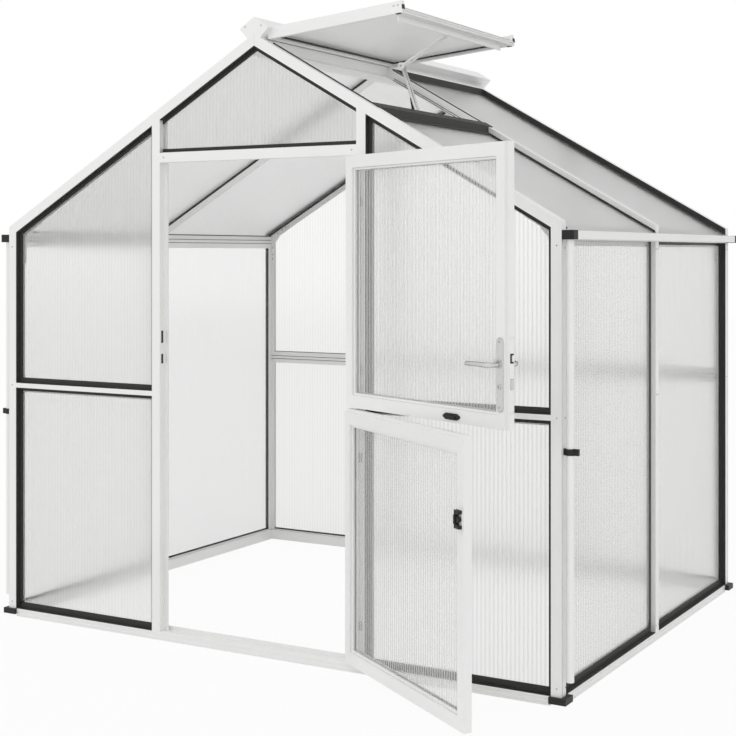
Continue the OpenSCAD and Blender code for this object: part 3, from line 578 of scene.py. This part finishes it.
def edge_strips(name, node, body, slot_name, material, towards, start, width, thick,
                open_foot=False):
    """A mitred strip round each sheet of a node, on the face that looks towards a point."""
    bm = bmesh.new()
    edge = min(width, thick) * 0.2
    levels = ((start, 0), (start, thick - edge), (start + edge, thick),
              (start + width - edge, thick), (start + width, thick - edge), (start + width, 0))
    for points, normal in solids_of(node):
        along, across = sheet_axes(normal)
        corners = tidy_outline(outline(points, across, along))
        out = normal if normal.dot(towards - centre_of(points)) > 0 else -normal
        surface = max(p.dot(out) for p in points)
        loops = []
        for inset, height in levels:
            loops.append([across * a + along * b + out * (surface + height)
                          for a, b in inset_outline(corners, inset)])
        foot = min(b for _, b in corners)
        for k, (_, b0) in enumerate(corners):
            after = (k + 1) % len(corners)
            if open_foot and max(b0, corners[after][1]) < foot + 0.001:
                continue
            for low, high in zip(loops, loops[1:]):
                bm.faces.new([bm.verts.new(point) for point in
                              (low[k], low[after], high[after], high[k])])
    bmesh.ops.remove_doubles(bm, verts=bm.verts, dist=1e-6)
    bmesh.ops.recalc_face_normals(bm, faces=bm.faces)
    finish_piece(name, bm, body, slot_name, material)


def centre_of(points):
    """The mean of some points."""
    return sum(points, Vector()) / len(points)


def inner_lips():
    """Aluminium lips round the wall sheets, and a black seal round the roof's, all inside."""
    for node in ("front_sheets", "back_sheets", "side_sheets"):
        edge_strips(node + "_inner_lip", node, "structure", "aluminium", ALUMINIUM, INSIDE,
                    start=0.0005, width=0.02, thick=0.0025)
    edge_strips("roof_sheets_inner_seal", "roof_sheets", "structure", "gasket_rubber", RUBBER,
                INSIDE, start=0.012, width=0.003, thick=0.0045, open_foot=True)


def rake_inner_seals():
    """A black seal under the roof along each rake, short of the ridge and the eaves."""
    bm = bmesh.new()
    width, thick, reach = 0.009, 0.005, 0.02
    for points, normal in solids_of("roof_sheets"):
        inward = -normal if normal.z > 0 else normal
        under = max(p.dot(inward) for p in points)
        level = [p for p in points if p.dot(inward) > under - 0.001]
        for y, push in ((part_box("front_rakes")[1][1], 1), (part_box("back_rakes")[0][1], -1)):
            if min(abs(p.y - y) for p in points) > reach:
                continue
            ends = [max(level, key=lambda p: (p.z, p.y * push)),
                    min(level, key=lambda p: (p.z, p.y * push))]
            start, end = (Vector((p.x, y + push * width / 2, p.z)) + inward * thick / 2
                          for p in ends)
            run = end - start
            bar(bm, start + run * 0.02, end - run * 0.035, BACK, width, thick)
    finish_piece("rake_inner_seals", bm, "structure", "gasket_rubber", RUBBER)


def flap_seal_shade_and_leaf_beads():
    """The seal under the vent's sheet, widened so that it also paints the shade under the sheet's edges, and the
    beads that hold the leaves' sheets.
    """
    # The black seal is made wide so that it also paints the shade along the sheet's edges.
    edge_strips("vent_sheet_under_seal_and_shade", "vent_sheet", "structure", "gasket_rubber", RUBBER,
                INSIDE, start=0.008, width=0.013, thick=0.005)
    for node, body, leaf in (("upper_leaf_sheet", "door_upper", UPPER_LEAF),
                             ("lower_leaf_sheet", "door_lower", LOWER_LEAF)):
        before_leaf = leaf(0.45, 3.0, 1.0)
        edge_strips(node + "_bead", node, body, "aluminium", ALUMINIUM, before_leaf,
                    start=0, width=0.009, thick=0.008)


def foot_seals():
    """The raised upper lip of the gasket along the foot of the front, side and back sheets."""
    gasket_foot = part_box("wall_gaskets")[0][2]
    height, thick = 0.0104, 0.005
    centre_z = gasket_foot + 0.0208
    bm = bmesh.new()
    for node in ("front_sheets", "side_sheets", "back_sheets"):
        for points, normal in solids_of(node):
            if min(p.z for p in points) > gasket_foot + 0.1:
                continue
            out = normal if normal.dot(centre_of(points) - INSIDE) > 0 else -normal
            across = UP.cross(out)
            level = out * (max(p.dot(out) for p in points) + thick / 2) + UP * centre_z
            ends = [across * pick(p.dot(across) for p in points) for pick in (min, max)]
            bar(bm, ends[0] + level, ends[1] + level, UP, height, thick)
    finish_piece("foot_seals", bm, "structure", "gasket_rubber", RUBBER)


# ---- Door hardware ----

PLATE_THICK = 0.006
CYLINDER_DROP = 0.072      # from the spindle down to the key cylinder
LATCH_BELOW_TOP = 0.07     # from the top of the lock's faceplate
BOLT_ABOVE_FOOT = 0.096    # from its foot


def joint_called(name):
    """A joint's row in the frame."""
    return next(joint for joint in frame["joints"] if joint["name"] == name)


def leaf_space(joint_name, sheet_node):
    """Maps (along the leaf, out from its hinge line, height) to a point."""
    pivot_x, pivot_y, _ = joint_called(joint_name)["pos_m"]
    pivot = Vector((pivot_x, pivot_y, 0))
    normal = next(solids_of(sheet_node))[1]
    out = normal if normal.y < 0 else -normal
    run = UP.cross(out)

    def place(u, w, z):
        return pivot + run * u + out * w + UP * z

    place.run, place.out = run, out
    return place


UPPER_LEAF = leaf_space("upper_door_hinge", "upper_leaf_sheet")
LOWER_LEAF = leaf_space("lower_door_hinge", "lower_leaf_sheet")


def leaf_spans(node, leaf):
    """Lowest and highest of a node along the leaf, out of it and in height."""
    origin = leaf(0, 0, 0)
    points = [vert.co - origin for vert in frame["nodes"][node].data.vertices]
    return [(min(p.dot(axis) for p in points), max(p.dot(axis) for p in points))
            for axis in (leaf.run, leaf.out, UP)]


def middle(span):
    """Halfway between two numbers."""
    return (span[0] + span[1]) / 2


def length(span):
    """From a span's lowest to its highest."""
    return span[1] - span[0]


def handle_plates():
    """Rimmed plates on both faces of the upper leaf, with rose, key cylinder and screws."""
    u_span, w_span, z_span = leaf_spans("handle_plates", UPPER_LEAF)
    spindle_z = joint_called("lever_turn")["pos_m"][2]
    key_z = spindle_z - CYLINDER_DROP
    width = length(u_span)
    plates, keyway_shade = bmesh.new(), bmesh.new()
    for face_w, sign in ((w_span[1] - PLATE_THICK, 1), (w_span[0] + PLATE_THICK, -1)):

        def on_face(z, lift=0.0):
            return seat(UPPER_LEAF(middle(u_span), face_w + sign * lift, z), UPPER_LEAF.out * sign)

        rimmed_plate(plates, on_face(middle(z_span)), width, length(z_span), PLATE_THICK,
                     radius=width / 2 - 0.0002, rim=0.0028, sink=0.0014)
        turned(plates, on_face(spindle_z), ((0.0115, 0.003), (0.0115, 0.0065),
                                            (0.0105, 0.0075), (0.0085, 0.0075)))
        turned(plates, on_face(key_z), ((0.0085, 0.003), (0.0085, 0.0068), (0.0072, 0.0076)),
               sides=20)
        # A black plate paints the shade inside the key cylinder's keyway.
        plate(keyway_shade, on_face(key_z, lift=0.0072), width=0.0022, height=0.0095, thick=0.0009,
              radius=0.0009, edge=0.0003)
        plate(plates, on_face(key_z - 0.011, lift=0.003), width=0.0085, height=0.014,
              thick=0.0022, radius=0.004, edge=0.0005)
        for z in (z_span[0] + 0.014, z_span[1] - 0.014):
            screw(plates, on_face(z, lift=PLATE_THICK - 0.0018), radius=0.0042)
    piece = finish_piece("handle_rimmed_plates", plates, "door_upper", "steel", STEEL)
    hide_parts("handle_plates")
    finish_piece("handle_keyway_shade", keyway_shade, "door_upper", "black_plastic", PLASTIC)


def swept_levers():
    """A lever on each face: a neck out of the rose, a quarter bend and a swept grip."""
    plate_u, plate_w, _ = leaf_spans("handle_plates", UPPER_LEAF)
    lever_u, lever_w, _ = leaf_spans("lever_handle", UPPER_LEAF)
    spindle_z = joint_called("lever_turn")["pos_m"][2]
    u, tip_u = middle(plate_u), lever_u[0] + 0.006
    bend, bend_steps, grip_steps = 0.018, 8, 12
    levers = bmesh.new()
    for tip_w, foot_w, sign in ((lever_w[1] - 0.0092, plate_w[1] - 0.001, 1),
                                (lever_w[0] + 0.0092, plate_w[0] + 0.001, -1)):
        path, radii = [], []
        for share in (0, 0.5, 1):
            path.append(UPPER_LEAF(u, foot_w + (tip_w - sign * bend - foot_w) * share, spindle_z))
            radii.append(0.0082 - 0.0006 * share)
        for step in range(1, bend_steps + 1):
            turn = math.radians(90 * step / bend_steps)
            path.append(UPPER_LEAF(u - bend * (1 - math.cos(turn)),
                                   tip_w - sign * bend * (1 - math.sin(turn)), spindle_z))
            radii.append(0.0076 + 0.0008 * step / bend_steps)
        for step in range(1, grip_steps + 1):
            share = step / grip_steps
            crown = math.sin(math.pi * share)
            path.append(UPPER_LEAF(u - bend + (tip_u - u + bend) * share,
                                   tip_w + sign * 0.002 * crown, spindle_z + 0.0012 * crown))
            radii.append(0.0086 - 0.0016 * share)
        tube(levers, path, radii, sides=20, flat=0.85)
    piece = finish_piece("lever_swept", levers, "door_handle", "steel", STEEL, angle=60)
    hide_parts("lever_handle")


def edge_lock():
    """Faceplate on the leaf's edge, with latch, bolt, screws, and black plates that paint the shade in the
    recesses.
    """
    (face_u, _), w_span, z_span = leaf_spans("lock", UPPER_LEAF)
    latch_z, bolt_z = z_span[1] - LATCH_BELOW_TOP, z_span[0] + BOLT_ABOVE_FOOT
    steel, dark, bolt = bmesh.new(), bmesh.new(), bmesh.new()

    def on_edge(z, lift):
        return seat(UPPER_LEAF(face_u + lift, middle(w_span), z), UPPER_LEAF.run)

    plate(steel, on_edge(middle(z_span), -0.0002), length(w_span), length(z_span),
          thick=0.0032, radius=0.0085)
    # Black plates under the latch and the bolt paint the shade inside their recesses.
    plate(dark, on_edge(latch_z, 0.0024), width=0.015, height=0.032, thick=0.0012,
          radius=0.002, edge=0.0003)
    foot = ((-0.001, -0.0105), (0.0076, -0.0105), (0.0076, 0.0105), (-0.001, 0.0105))
    head = ((0.001, -0.01), (0.0076, -0.01), (0.0076, 0.01), (0.001, 0.01))
    skin(steel, on_edge(latch_z, 0.003), [ring(foot, 0), ring(foot, 0.0008), ring(head, 0.004)])
    plate(dark, on_edge(bolt_z, 0.0024), width=0.0115, height=0.035, thick=0.001,
          radius=0.002, edge=0.0003)
    plate(bolt, on_edge(bolt_z, 0.003), width=0.0125, height=0.034, thick=0.004, radius=0.0015)
    finish_piece("lock_bolt", bolt, "door_upper", "steel", STEEL)
    for z in (z_span[0] + 0.01, z_span[0] + 0.042, z_span[1] - 0.01):
        screw(steel, on_edge(z, 0.0028), radius=0.0034)
    piece = finish_piece("lock_faceplate", steel, "door_upper", "steel", ALUMINIUM)
    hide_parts("lock")
    finish_piece("lock_recess_shade", dark, "door_upper", "black_plastic", PLASTIC)


def turn_latch():
    """A hexagonal plate with a round boss and a bar to turn it by, on the upper leaf."""
    u_span, w_span, z_span = leaf_spans("turn_latch", UPPER_LEAF)
    half, rise = length(u_span) / 2, length(z_span) / 2
    shoulder, tip_rise = half * 0.66, 0.003
    bm = bmesh.new()
    base = seat(UPPER_LEAF(middle(u_span), w_span[0], middle(z_span)), UPPER_LEAF.out)
    long_plate = [(half, tip_rise), (shoulder, rise), (-shoulder, rise), (-half, tip_rise),
                  (-half, -tip_rise), (-shoulder, -rise), (shoulder, -rise), (half, -tip_rise)]
    skin(bm, base, [ring(long_plate, 0), ring(long_plate, 0.005),
                    ring(scaled(long_plate, 0.93), 0.0065)])
    turned(bm, base, ((0.0098, 0.005), (0.0098, 0.009), (0.0088, 0.0105), (0.0058, 0.0105),
                      (0.005, 0.009)))
    bar(bm, base @ Vector((-0.026, 0, 0.0075)), base @ Vector((0.026, 0, 0.0075)), UP,
        width=0.0085, height=0.0075, edge=0.0016)
    piece = finish_piece("turn_latch_shaped", bm, "door_upper", "black_plastic", PLASTIC)
    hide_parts("turn_latch")


def rim_latch():
    """An aluminium back with a black C-shaped clasp, knob and bars, on the lower leaf."""
    u_span, w_span, z_span = leaf_spans("rim_latch", LOWER_LEAF)
    width, height = length(u_span), length(z_span)
    right, top = width / 2, height / 2
    back_thick, arm, spine = 0.003, 0.011, 0.01
    shaped, backs = bmesh.new(), bmesh.new()
    base = seat(LOWER_LEAF(middle(u_span), w_span[0], middle(z_span)), LOWER_LEAF.out)
    plate(backs, base, width, height, back_thick, radius=0.004)
    on_back = base @ Matrix.Translation((0, 0, back_thick - 0.0002))
    clasp = ((right, top), (-right, top), (-right, -top), (right, -top), (right, arm - top),
             (spine - right, arm - top), (spine - right, top - arm), (right, top - arm))
    skin(shaped, on_back, [ring(clasp, 0), ring(clasp, 0.0125), ring(scaled(clasp, 0.95), 0.014)])
    knob = on_back @ Matrix.Translation((width * 0.16, 0, 0))
    turned(shaped, knob, ((0.0075, 0), (0.0068, 0.004), (0.0098, 0.007), (0.0104, 0.0095),
                          (0.0092, 0.012), (0.0055, 0.0132)))
    bar(shaped, base @ Vector((0.0045 - right, 0, 0.006)), knob @ Vector((0, 0, 0.0032)), UP,
        width=0.012, height=0.006)
    spine_x = 0.006 - right
    bar(shaped, base @ Vector((spine_x, 0, 0.012)), base @ Vector((spine_x, 0, 0.0199)), UP,
        width=0.03, height=0.009, edge=0.002)
    finish_piece("rim_latch_back", backs, "door_lower", "aluminium", ALUMINIUM)
    piece = finish_piece("rim_latch_shaped", shaped, "door_lower", "black_plastic", PLASTIC)
    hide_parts("rim_latch")


def strike_plates():
    """Keep plates on the left door post, with black plates that paint the shade in the slots for latch and bolt.
    """
    jamb_x, face_y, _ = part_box("lintel")[0]
    foot_z, top_z = leaf_spans("lock", UPPER_LEAF)[2]
    plates, slots = bmesh.new(), bmesh.new()

    def on_jamb(z, lift):
        return seat(Vector((jamb_x + lift, face_y + 0.017, z)), RIGHT)

    # Black plates paint the shade inside the slots for latch and bolt.
    for z in (top_z - LATCH_BELOW_TOP, foot_z + BOLT_ABOVE_FOOT):
        plate(slots, on_jamb(z, -0.002), width=0.0136, height=0.0496, thick=0.0014,
              radius=0.002, edge=0.0003)
    for z, height in ((top_z - 0.028, 0.034), (middle((foot_z, top_z)), 0.03),
                      (foot_z + 0.054, 0.034)):
        plate(plates, on_jamb(z, -0.0004), width=0.02, height=height, thick=0.001,
              radius=0.002, edge=0.0003)
        screw(plates, on_jamb(z, 0.0002), radius=0.0026)
    finish_piece("strike_slots", slots, "structure", "black_plastic", PLASTIC)
    finish_piece("strike_plates", plates, "structure", "steel", ALUMINIUM)


# ---- Screws ----

GUSSET_SPACING = (0.012, 0.036, 0.072)    # from the gusset's end, along each of its arms
GUSSET_SCREW = 0.004    # radii of the heads
POST_SCREW = 0.0032
WING_SCREW = 0.0035
FRAME_SCREW = 0.0036


def gusset_screws(bm):
    """Three screws up the post and three along the rake, on each gusset's inner face."""
    slope = Vector((math.cos(math.radians(30)), 0, -math.sin(math.radians(30))))
    for points, _ in solids_of("corner_plates"):
        low = Vector([min(p[i] for p in points) for i in range(3)])
        high = Vector([max(p[i] for p in points) for i in range(3)])
        side = 1 if high.x > 0 else -1
        out = BACK if low.y < INSIDE.y else -BACK
        y = high.y if out.y > 0 else low.y
        narrow, wide = sorted((abs(low.x), abs(high.x)))
        spots = [Vector((wide - 0.012, y, low.z + rise)) for rise in GUSSET_SPACING]
        head = Vector((narrow + 0.006, y, high.z - 0.0104))
        spots += [head + slope * run for run in GUSSET_SPACING]
        for spot in spots:
            screw(bm, seat(Vector((spot.x * side, spot.y, spot.z)), out), GUSSET_SCREW)


def post_screws(bm):
    """Screws at the foot, middle and top of the posts and studs."""
    (_, front_y, _), (corner_x, back_y, _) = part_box("corner_posts")
    side_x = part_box("side_posts")[1][0]
    stud_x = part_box("back_studs")[1][0]
    foot_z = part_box("base_sides")[1][2] + 0.014
    rail_z = middle([corner[2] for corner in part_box("front_mid_rails")])
    beam_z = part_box("eave_beams")[0][2]
    mid_y = middle((front_y, back_y))
    for x in (side_x, -side_x):
        for y in (front_y + 0.034, mid_y - 0.013, mid_y + 0.013, back_y - 0.034):
            for z in (foot_z, rail_z - 0.002, beam_z - 0.018):
                screw(bm, seat(Vector((x, y, z)), RIGHT * x), POST_SCREW)
    outer, inner = corner_x - 0.018, stud_x - 0.032
    for y, out, places in ((back_y, BACK, (-outer, -inner, inner, outer)),
                           (front_y, -BACK, (-outer, outer))):
        for x in places:
            for z in (foot_z, rail_z, beam_z - 0.008):
                screw(bm, seat(Vector((x, y, z)), out), POST_SCREW)


def door_screws(bm):
    """Screws at the lintel's ends and on the hinges' fixed wings."""
    low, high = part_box("lintel")
    for x in (low[0] + 0.02, high[0] - 0.02):
        screw(bm, seat(Vector((x, low[1], low[2] + 0.02)), -BACK), FRAME_SCREW)
    wing_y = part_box("corner_posts")[0][1] - 0.003
    for points, _ in solids_of("hinge_wings"):
        right = max(p.x for p in points)
        z = middle((min(p.z for p in points), max(p.z for p in points)))
        for x in (right - 0.007, right - 0.021):
            screw(bm, seat(Vector((x, wing_y, z)), -BACK), WING_SCREW)


def roof_screws(bm):
    """Screws in the ends of the ridge cap and of the vent's free rail."""
    low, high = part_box("ridge_cap")
    for y, out in ((low[1], -BACK), (high[1], BACK)):
        for x in (-0.042, 0.034):
            screw(bm, seat(Vector((x, y, high[2] - 0.036)), out), FRAME_SCREW)
    for a in (0.018, 0.036):
        screw(bm, seat(VENT(a, 0, 0.058), -BACK), FRAME_SCREW)


def structure_screws():
    """All the screws on the structure, as one piece."""
    bm = bmesh.new()
    gusset_screws(bm)
    post_screws(bm)
    door_screws(bm)
    roof_screws(bm)
    finish_piece("frame_screws", bm, "structure", "steel", STEEL)


# ---- Roof vent ----

def vent_space():
    """Maps (in from the flap's free edge, back from its front end, up from its foot) to a point."""
    up = next(solids_of("vent_sheet"))[1]
    up = up if up.z > 0 else -up
    run = BACK.cross(up)
    points = [vert.co for vert in frame["nodes"]["vent_frame"].data.vertices]
    free = max(p.dot(run) for p in points)
    foot = min(p.dot(up) for p in points)
    front = min(p.y for p in points)

    def place(a, b, c):
        return run * (free - a) + BACK * (front + b) + up * (foot + c)

    place.run, place.up = run, up
    place.length = max(p.y for p in points) - front
    return place


VENT = vent_space()


def vent_details():
    """Ribs along the flap's free rail, and black seals at its ends."""
    ribs, seals = bmesh.new(), bmesh.new()
    rail_foot, short, proud, seal = 0.028, 0.004, 0.0005, 0.012
    far = VENT.length
    for c in (rail_foot + 0.004, rail_foot + 0.0105):
        groove(ribs, VENT(-0.0002, short, c), VENT(-0.0002, far - short, c), VENT.up, VENT.run)
    for a in (0.005, 0.0135, 0.0345):
        groove(ribs, VENT(a, short, rail_foot), VENT(a, far - short, rail_foot), VENT.run,
               VENT.up)
    bar(ribs, VENT(0.026, 0.014, 0.001), VENT(0.026, far - 0.096, 0.001), VENT.run,
        width=0.0062, height=0.003)
    for b0, b1 in ((-proud, seal + proud), (far - seal - proud, far + proud)):
        edge_c, under_c = rail_foot + 0.0215, rail_foot - 0.001
        bar(seals, VENT(-0.001, b0, edge_c), VENT(-0.001, b1, edge_c), VENT.up,
            width=0.017, height=0.006)
        bar(seals, VENT(0.02, b0, under_c), VENT(0.02, b1, under_c), VENT.run,
            width=0.02, height=0.003)
    finish_piece("vent_rail_ribs", ribs, "structure", "aluminium", ALUMINIUM)
    finish_piece("vent_end_seals", seals, "structure", "gasket_rubber", RUBBER)


def vent_opener():
    """Two legs, a double arm and a black piston between a bracket, a knee and a lug."""
    low, high = (Vector(corner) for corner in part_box("vent_opener"))
    y = middle((low.y, high.y))
    wall_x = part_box("vent_curb")[0][0]
    foot = Vector((wall_x - 0.01, y, low.z + 0.035))
    knee = Vector((low.x + 0.006, y, foot.z + 0.23))
    rod_foot = foot + Vector((-0.0224, 0, -0.028))
    tip = Vector((high.x - 0.0072, y, high.z - 0.0106))
    legs, bright, dark = bmesh.new(), bmesh.new(), bmesh.new()
    for side in (-BACK, BACK):
        opener_side(legs, bright, side, foot, knee, tip)
        screw(legs, seat(Vector((wall_x - 0.004, y, foot.z + 0.016)) + side * 0.0105, -RIGHT),
              radius=0.0034)
    rod_top = foot.lerp(knee, 0.6)
    tube(dark, [rod_foot, rod_foot.lerp(rod_top, 0.5), rod_top], [0.0045, 0.0045, 0.004],
         side=BACK)
    tube(dark, [rod_foot.lerp(rod_top, 0.06), rod_foot.lerp(rod_top, 0.78)], [0.0062, 0.0062],
         side=BACK)
    tube(legs, [rod_top - BACK * 0.0142, rod_top + BACK * 0.0142], [0.0042, 0.0042])
    plate(bright, seat(Vector((wall_x - 0.0002, y, foot.z + 0.004)), -RIGHT),
          width=0.032, height=0.046, thick=0.004, radius=0.005)
    bar(bright, foot + RIGHT * 0.006, foot - RIGHT * 0.008, BACK, width=0.03, height=0.012)
    bar(bright, foot + Vector((0.004, 0, -0.028)), rod_foot - RIGHT * 0.005, BACK,
        width=0.014, height=0.012)
    bar(bright, tip - BACK * 0.0155, tip + BACK * 0.0155, RIGHT,
        width=0.0126, height=0.0126, edge=0.002)
    piece = finish_piece("opener_legs", legs, "structure", "steel", STEEL)
    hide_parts("vent_opener")
    finish_piece("opener_arm_and_brackets", bright, "structure", "aluminium", ALUMINIUM)
    finish_piece("opener_piston", dark, "structure", "black_plastic", PLASTIC)


def opener_side(legs, bright, side, foot, knee, tip):
    """One side of the opener: a leg, half of the arm, the knee's cheek and its screws."""
    start, end = foot + side * 0.01, knee + side * 0.01
    run = (knee - foot).normalized()
    tube(legs, [start, start + run * 0.012, end - run * 0.012, end],
         [0.0052, 0.0056, 0.0056, 0.0052], side=BACK)
    bar(bright, knee + side * 0.0138, tip + side * 0.0138, BACK, width=0.0024, height=0.009)
    cheek, rim = rounded(0.03, 0.026, 0.009), rounded(0.028, 0.024, 0.008)
    skin(bright, seat(knee + side * 0.0142, side), [ring(cheek, 0), ring(cheek, 0.0012),
                                                    ring(rim, 0.0018)])
    screw(legs, seat(knee + side * 0.016, side), radius=0.0052)
    screw(legs, seat(tip + side * 0.0137, side), radius=0.0045)


# ---- Extrusion ribs, seals, and dark strips of painted groove shade ----

BASE_CHANNELS = (0.008, 0.025)         # up from the ground
SILL_CHANNELS = (0.01, 0.02, 0.032)    # back from the sill's front
EAVE_CHANNELS = (0.018, 0.035)         # up from the beam's foot
RAIL_CHANNELS = (0.014, 0.03)          # down from the rail's top
RAFTER_LINES = (0.005, 0.013)          # up from the rafter's foot


def base_ribs(ribs):
    """Channels round the base, and across the sill between the door posts."""
    (left_x, front_y, _), (right_x, _, _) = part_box("base_front")
    (_, side_front, _), (side_x, side_back, _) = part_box("base_sides")
    back_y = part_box("base_back")[1][1]
    for z in BASE_CHANNELS:
        for y in (front_y, back_y):
            groove(ribs, Vector((left_x, y, z)), Vector((right_x, y, z)), UP, BACK)
        for x in (side_x, -side_x):
            groove(ribs, Vector((x, side_front, z)), Vector((x, side_back, z)), UP, RIGHT)
    jamb_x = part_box("lintel")[1][0]
    sill_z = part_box("door_posts")[0][2]
    for run in SILL_CHANNELS:
        y = front_y + run
        groove(ribs, Vector((-jamb_x, y, sill_z)), Vector((jamb_x, y, sill_z)), BACK, UP)


def eave_ribs(ribs, seals_and_groove_shade):
    """Channels with dark strips in them as painted shade, and a dark seal above, inside the eave beams."""
    (_, front_y, foot_z), (outer_x, back_y, top_z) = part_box("eave_beams")
    for side in (1, -1):
        x = side * (outer_x - PROFILE)
        for rise in EAVE_CHANNELS:
            z = foot_z + rise
            groove(ribs, Vector((x, front_y, z)), Vector((x, back_y, z)), UP, RIGHT, seals_and_groove_shade)
        seal_x, seal_z = x - side * 0.0015, top_z - 0.004
        bar(seals_and_groove_shade, Vector((seal_x, front_y, seal_z)), Vector((seal_x, back_y, seal_z)), UP,
            width=0.004, height=0.0034)


def back_rail_ribs(ribs, seals_and_groove_shade):
    """Channels with dark strips in them as painted shade, along the inner faces of the back mid rails."""
    (_, inner_y, _), (end_x, _, top_z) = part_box("back_mid_rails")
    stud_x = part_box("back_studs")[1][0]
    inner_x = stud_x - 0.048
    for x0, x1 in ((-end_x, -stud_x), (-inner_x, inner_x), (stud_x, end_x)):
        for drop in RAIL_CHANNELS:
            z = top_z - drop
            groove(ribs, Vector((x0, inner_y, z)), Vector((x1, inner_y, z)), UP, BACK, seals_and_groove_shade)


def rafter_lines(seals_and_groove_shade):
    """Dark lines on the front face of the right mid rafter, beside the vent."""
    roof_up = next(n if n.z > 0 else -n for _, n in solids_of("roof_sheets") if n.x * n.z > 0)
    for points, _ in solids_of("mid_rafters"):
        if max(p.x for p in points) < 0.2:
            continue
        front_y = min(p.y for p in points)
        low_edge = sorted((p for p in points if p.y < front_y + 0.001),
                          key=lambda p: p.dot(roof_up))[:2]
        foot, head = sorted(low_edge, key=lambda p: p.z)
        for rise in RAFTER_LINES:
            lift = roof_up * rise
            bar(seals_and_groove_shade, foot.lerp(head, 0.6) + lift, foot.lerp(head, 0.98) + lift, BACK,
                width=0.0026, height=0.0024)


def member_ribs():
    """All the extrusions' ribs as one piece, and their seals with the dark strips of painted groove shade as
    another.
    """
    ribs, seals_and_groove_shade = bmesh.new(), bmesh.new()
    base_ribs(ribs)
    eave_ribs(ribs, seals_and_groove_shade)
    back_rail_ribs(ribs, seals_and_groove_shade)
    rafter_lines(seals_and_groove_shade)
    finish_piece("extrusion_ribs", ribs, "structure", "aluminium", ALUMINIUM)
    # One piece holds the real seals and the dark strips that paint the shade in the channels.
    finish_piece("inner_seals_and_groove_shade", seals_and_groove_shade, "structure", "gasket_rubber", RUBBER)


# ---- Stage ----

FLOOR_SIZE = 30
FLOOR_DROP = 0.001
FLOOR_GREY = (0.76, 0.76, 0.76, 1)
FLOOR_GLOW = 0.94       # how much of the white shows where the camera sees the floor
GLOW_THROUGH = 0.7      # the same through a sheet
WORLD_LEVEL = 1.15
WORLD_SLOPE = 0.24      # brighter by this much on the side that the light comes from
LIGHT_FROM = Vector((0.12, -0.97, -0.1)).normalized()


def make_floor():
    """A pale floor that shows white and keeps a light shadow."""
    mesh = bpy.data.meshes.new("floor")
    square = [(-FLOOR_SIZE, -FLOOR_SIZE, 0), (FLOOR_SIZE, -FLOOR_SIZE, 0),
              (FLOOR_SIZE, FLOOR_SIZE, 0), (-FLOOR_SIZE, FLOOR_SIZE, 0)]
    mesh.from_pydata(square, [], [(0, 1, 2, 3)])
    floor = bpy.data.objects.new("floor", mesh)
    floor.location.z = -FLOOR_DROP
    bpy.context.collection.objects.link(floor)
    material = bpy.data.materials.new("pale_floor")
    tree = blank_tree(material)
    paint = tree.nodes.new("ShaderNodeBsdfDiffuse")
    paint.inputs["Color"].default_value = FLOOR_GREY
    glow = tree.nodes.new("ShaderNodeEmission")
    glow.inputs["Color"].default_value = WHITE
    ray = tree.nodes.new("ShaderNodeLightPath").outputs
    mirrored = calculate(tree, "SUBTRACT", ray["Is Glossy Ray"], ray["Is Transmission Ray"])
    direct = calculate(tree, "MAXIMUM", ray["Is Camera Ray"], mirrored)
    through = calculate(tree, "MULTIPLY", ray["Is Transmission Ray"], GLOW_THROUGH)
    share = calculate(tree, "MULTIPLY_ADD", direct, FLOOR_GLOW, through, clamp=True)
    finish_tree(tree, "ShaderNodeOutputMaterial", mix_shaders(tree, paint, glow, share))
    mesh.materials.append(material)


def make_world():
    """An even studio light that shows as plain white where the camera looks past the object."""
    world = bpy.data.worlds.new("studio")
    bpy.context.scene.world = world
    tree = blank_tree(world)
    plain = tree.nodes.new("ShaderNodeBackground")
    plain.inputs["Color"].default_value = WHITE
    lit = tree.nodes.new("ShaderNodeBackground")
    place = tree.nodes.new("ShaderNodeTexCoord")
    towards = tree.nodes.new("ShaderNodeVectorMath")
    towards.operation = "DOT_PRODUCT"
    towards.inputs[1].default_value = LIGHT_FROM
    tree.links.new(place.outputs["Generated"], towards.inputs[0])
    level = calculate(tree, "MULTIPLY_ADD", towards.outputs["Value"], WORLD_SLOPE, WORLD_LEVEL)
    tree.links.new(level, lit.inputs["Strength"])
    ray = tree.nodes.new("ShaderNodeLightPath").outputs
    seen = calculate(tree, "MAXIMUM", ray["Is Camera Ray"], ray["Is Transmission Ray"])
    finish_tree(tree, "ShaderNodeOutputWorld", mix_shaders(tree, lit, plain, seen))


make_camera()
dress_cad_nodes()
for sheet_node in ("front_sheets", "gable_sheet", "back_sheets"):
    twin_wall(sheet_node, "structure", SKIN)
twin_wall("side_sheets", "structure", SIDE_SKIN)
for sheet_node in ("roof_sheets", "vent_sheet"):
    twin_wall(sheet_node, "structure", ROOF_SKIN)
twin_wall("upper_leaf_sheet", "door_upper", LEAF_SKIN)
twin_wall("lower_leaf_sheet", "door_lower", LEAF_SKIN)
inner_lips()
rake_inner_seals()
flap_seal_shade_and_leaf_beads()
foot_seals()
handle_plates()
swept_levers()
edge_lock()
turn_latch()
rim_latch()
strike_plates()
structure_screws()
vent_details()
vent_opener()
member_ribs()
make_floor()
make_world()
bpy.context.scene.view_settings.view_transform = "Standard"
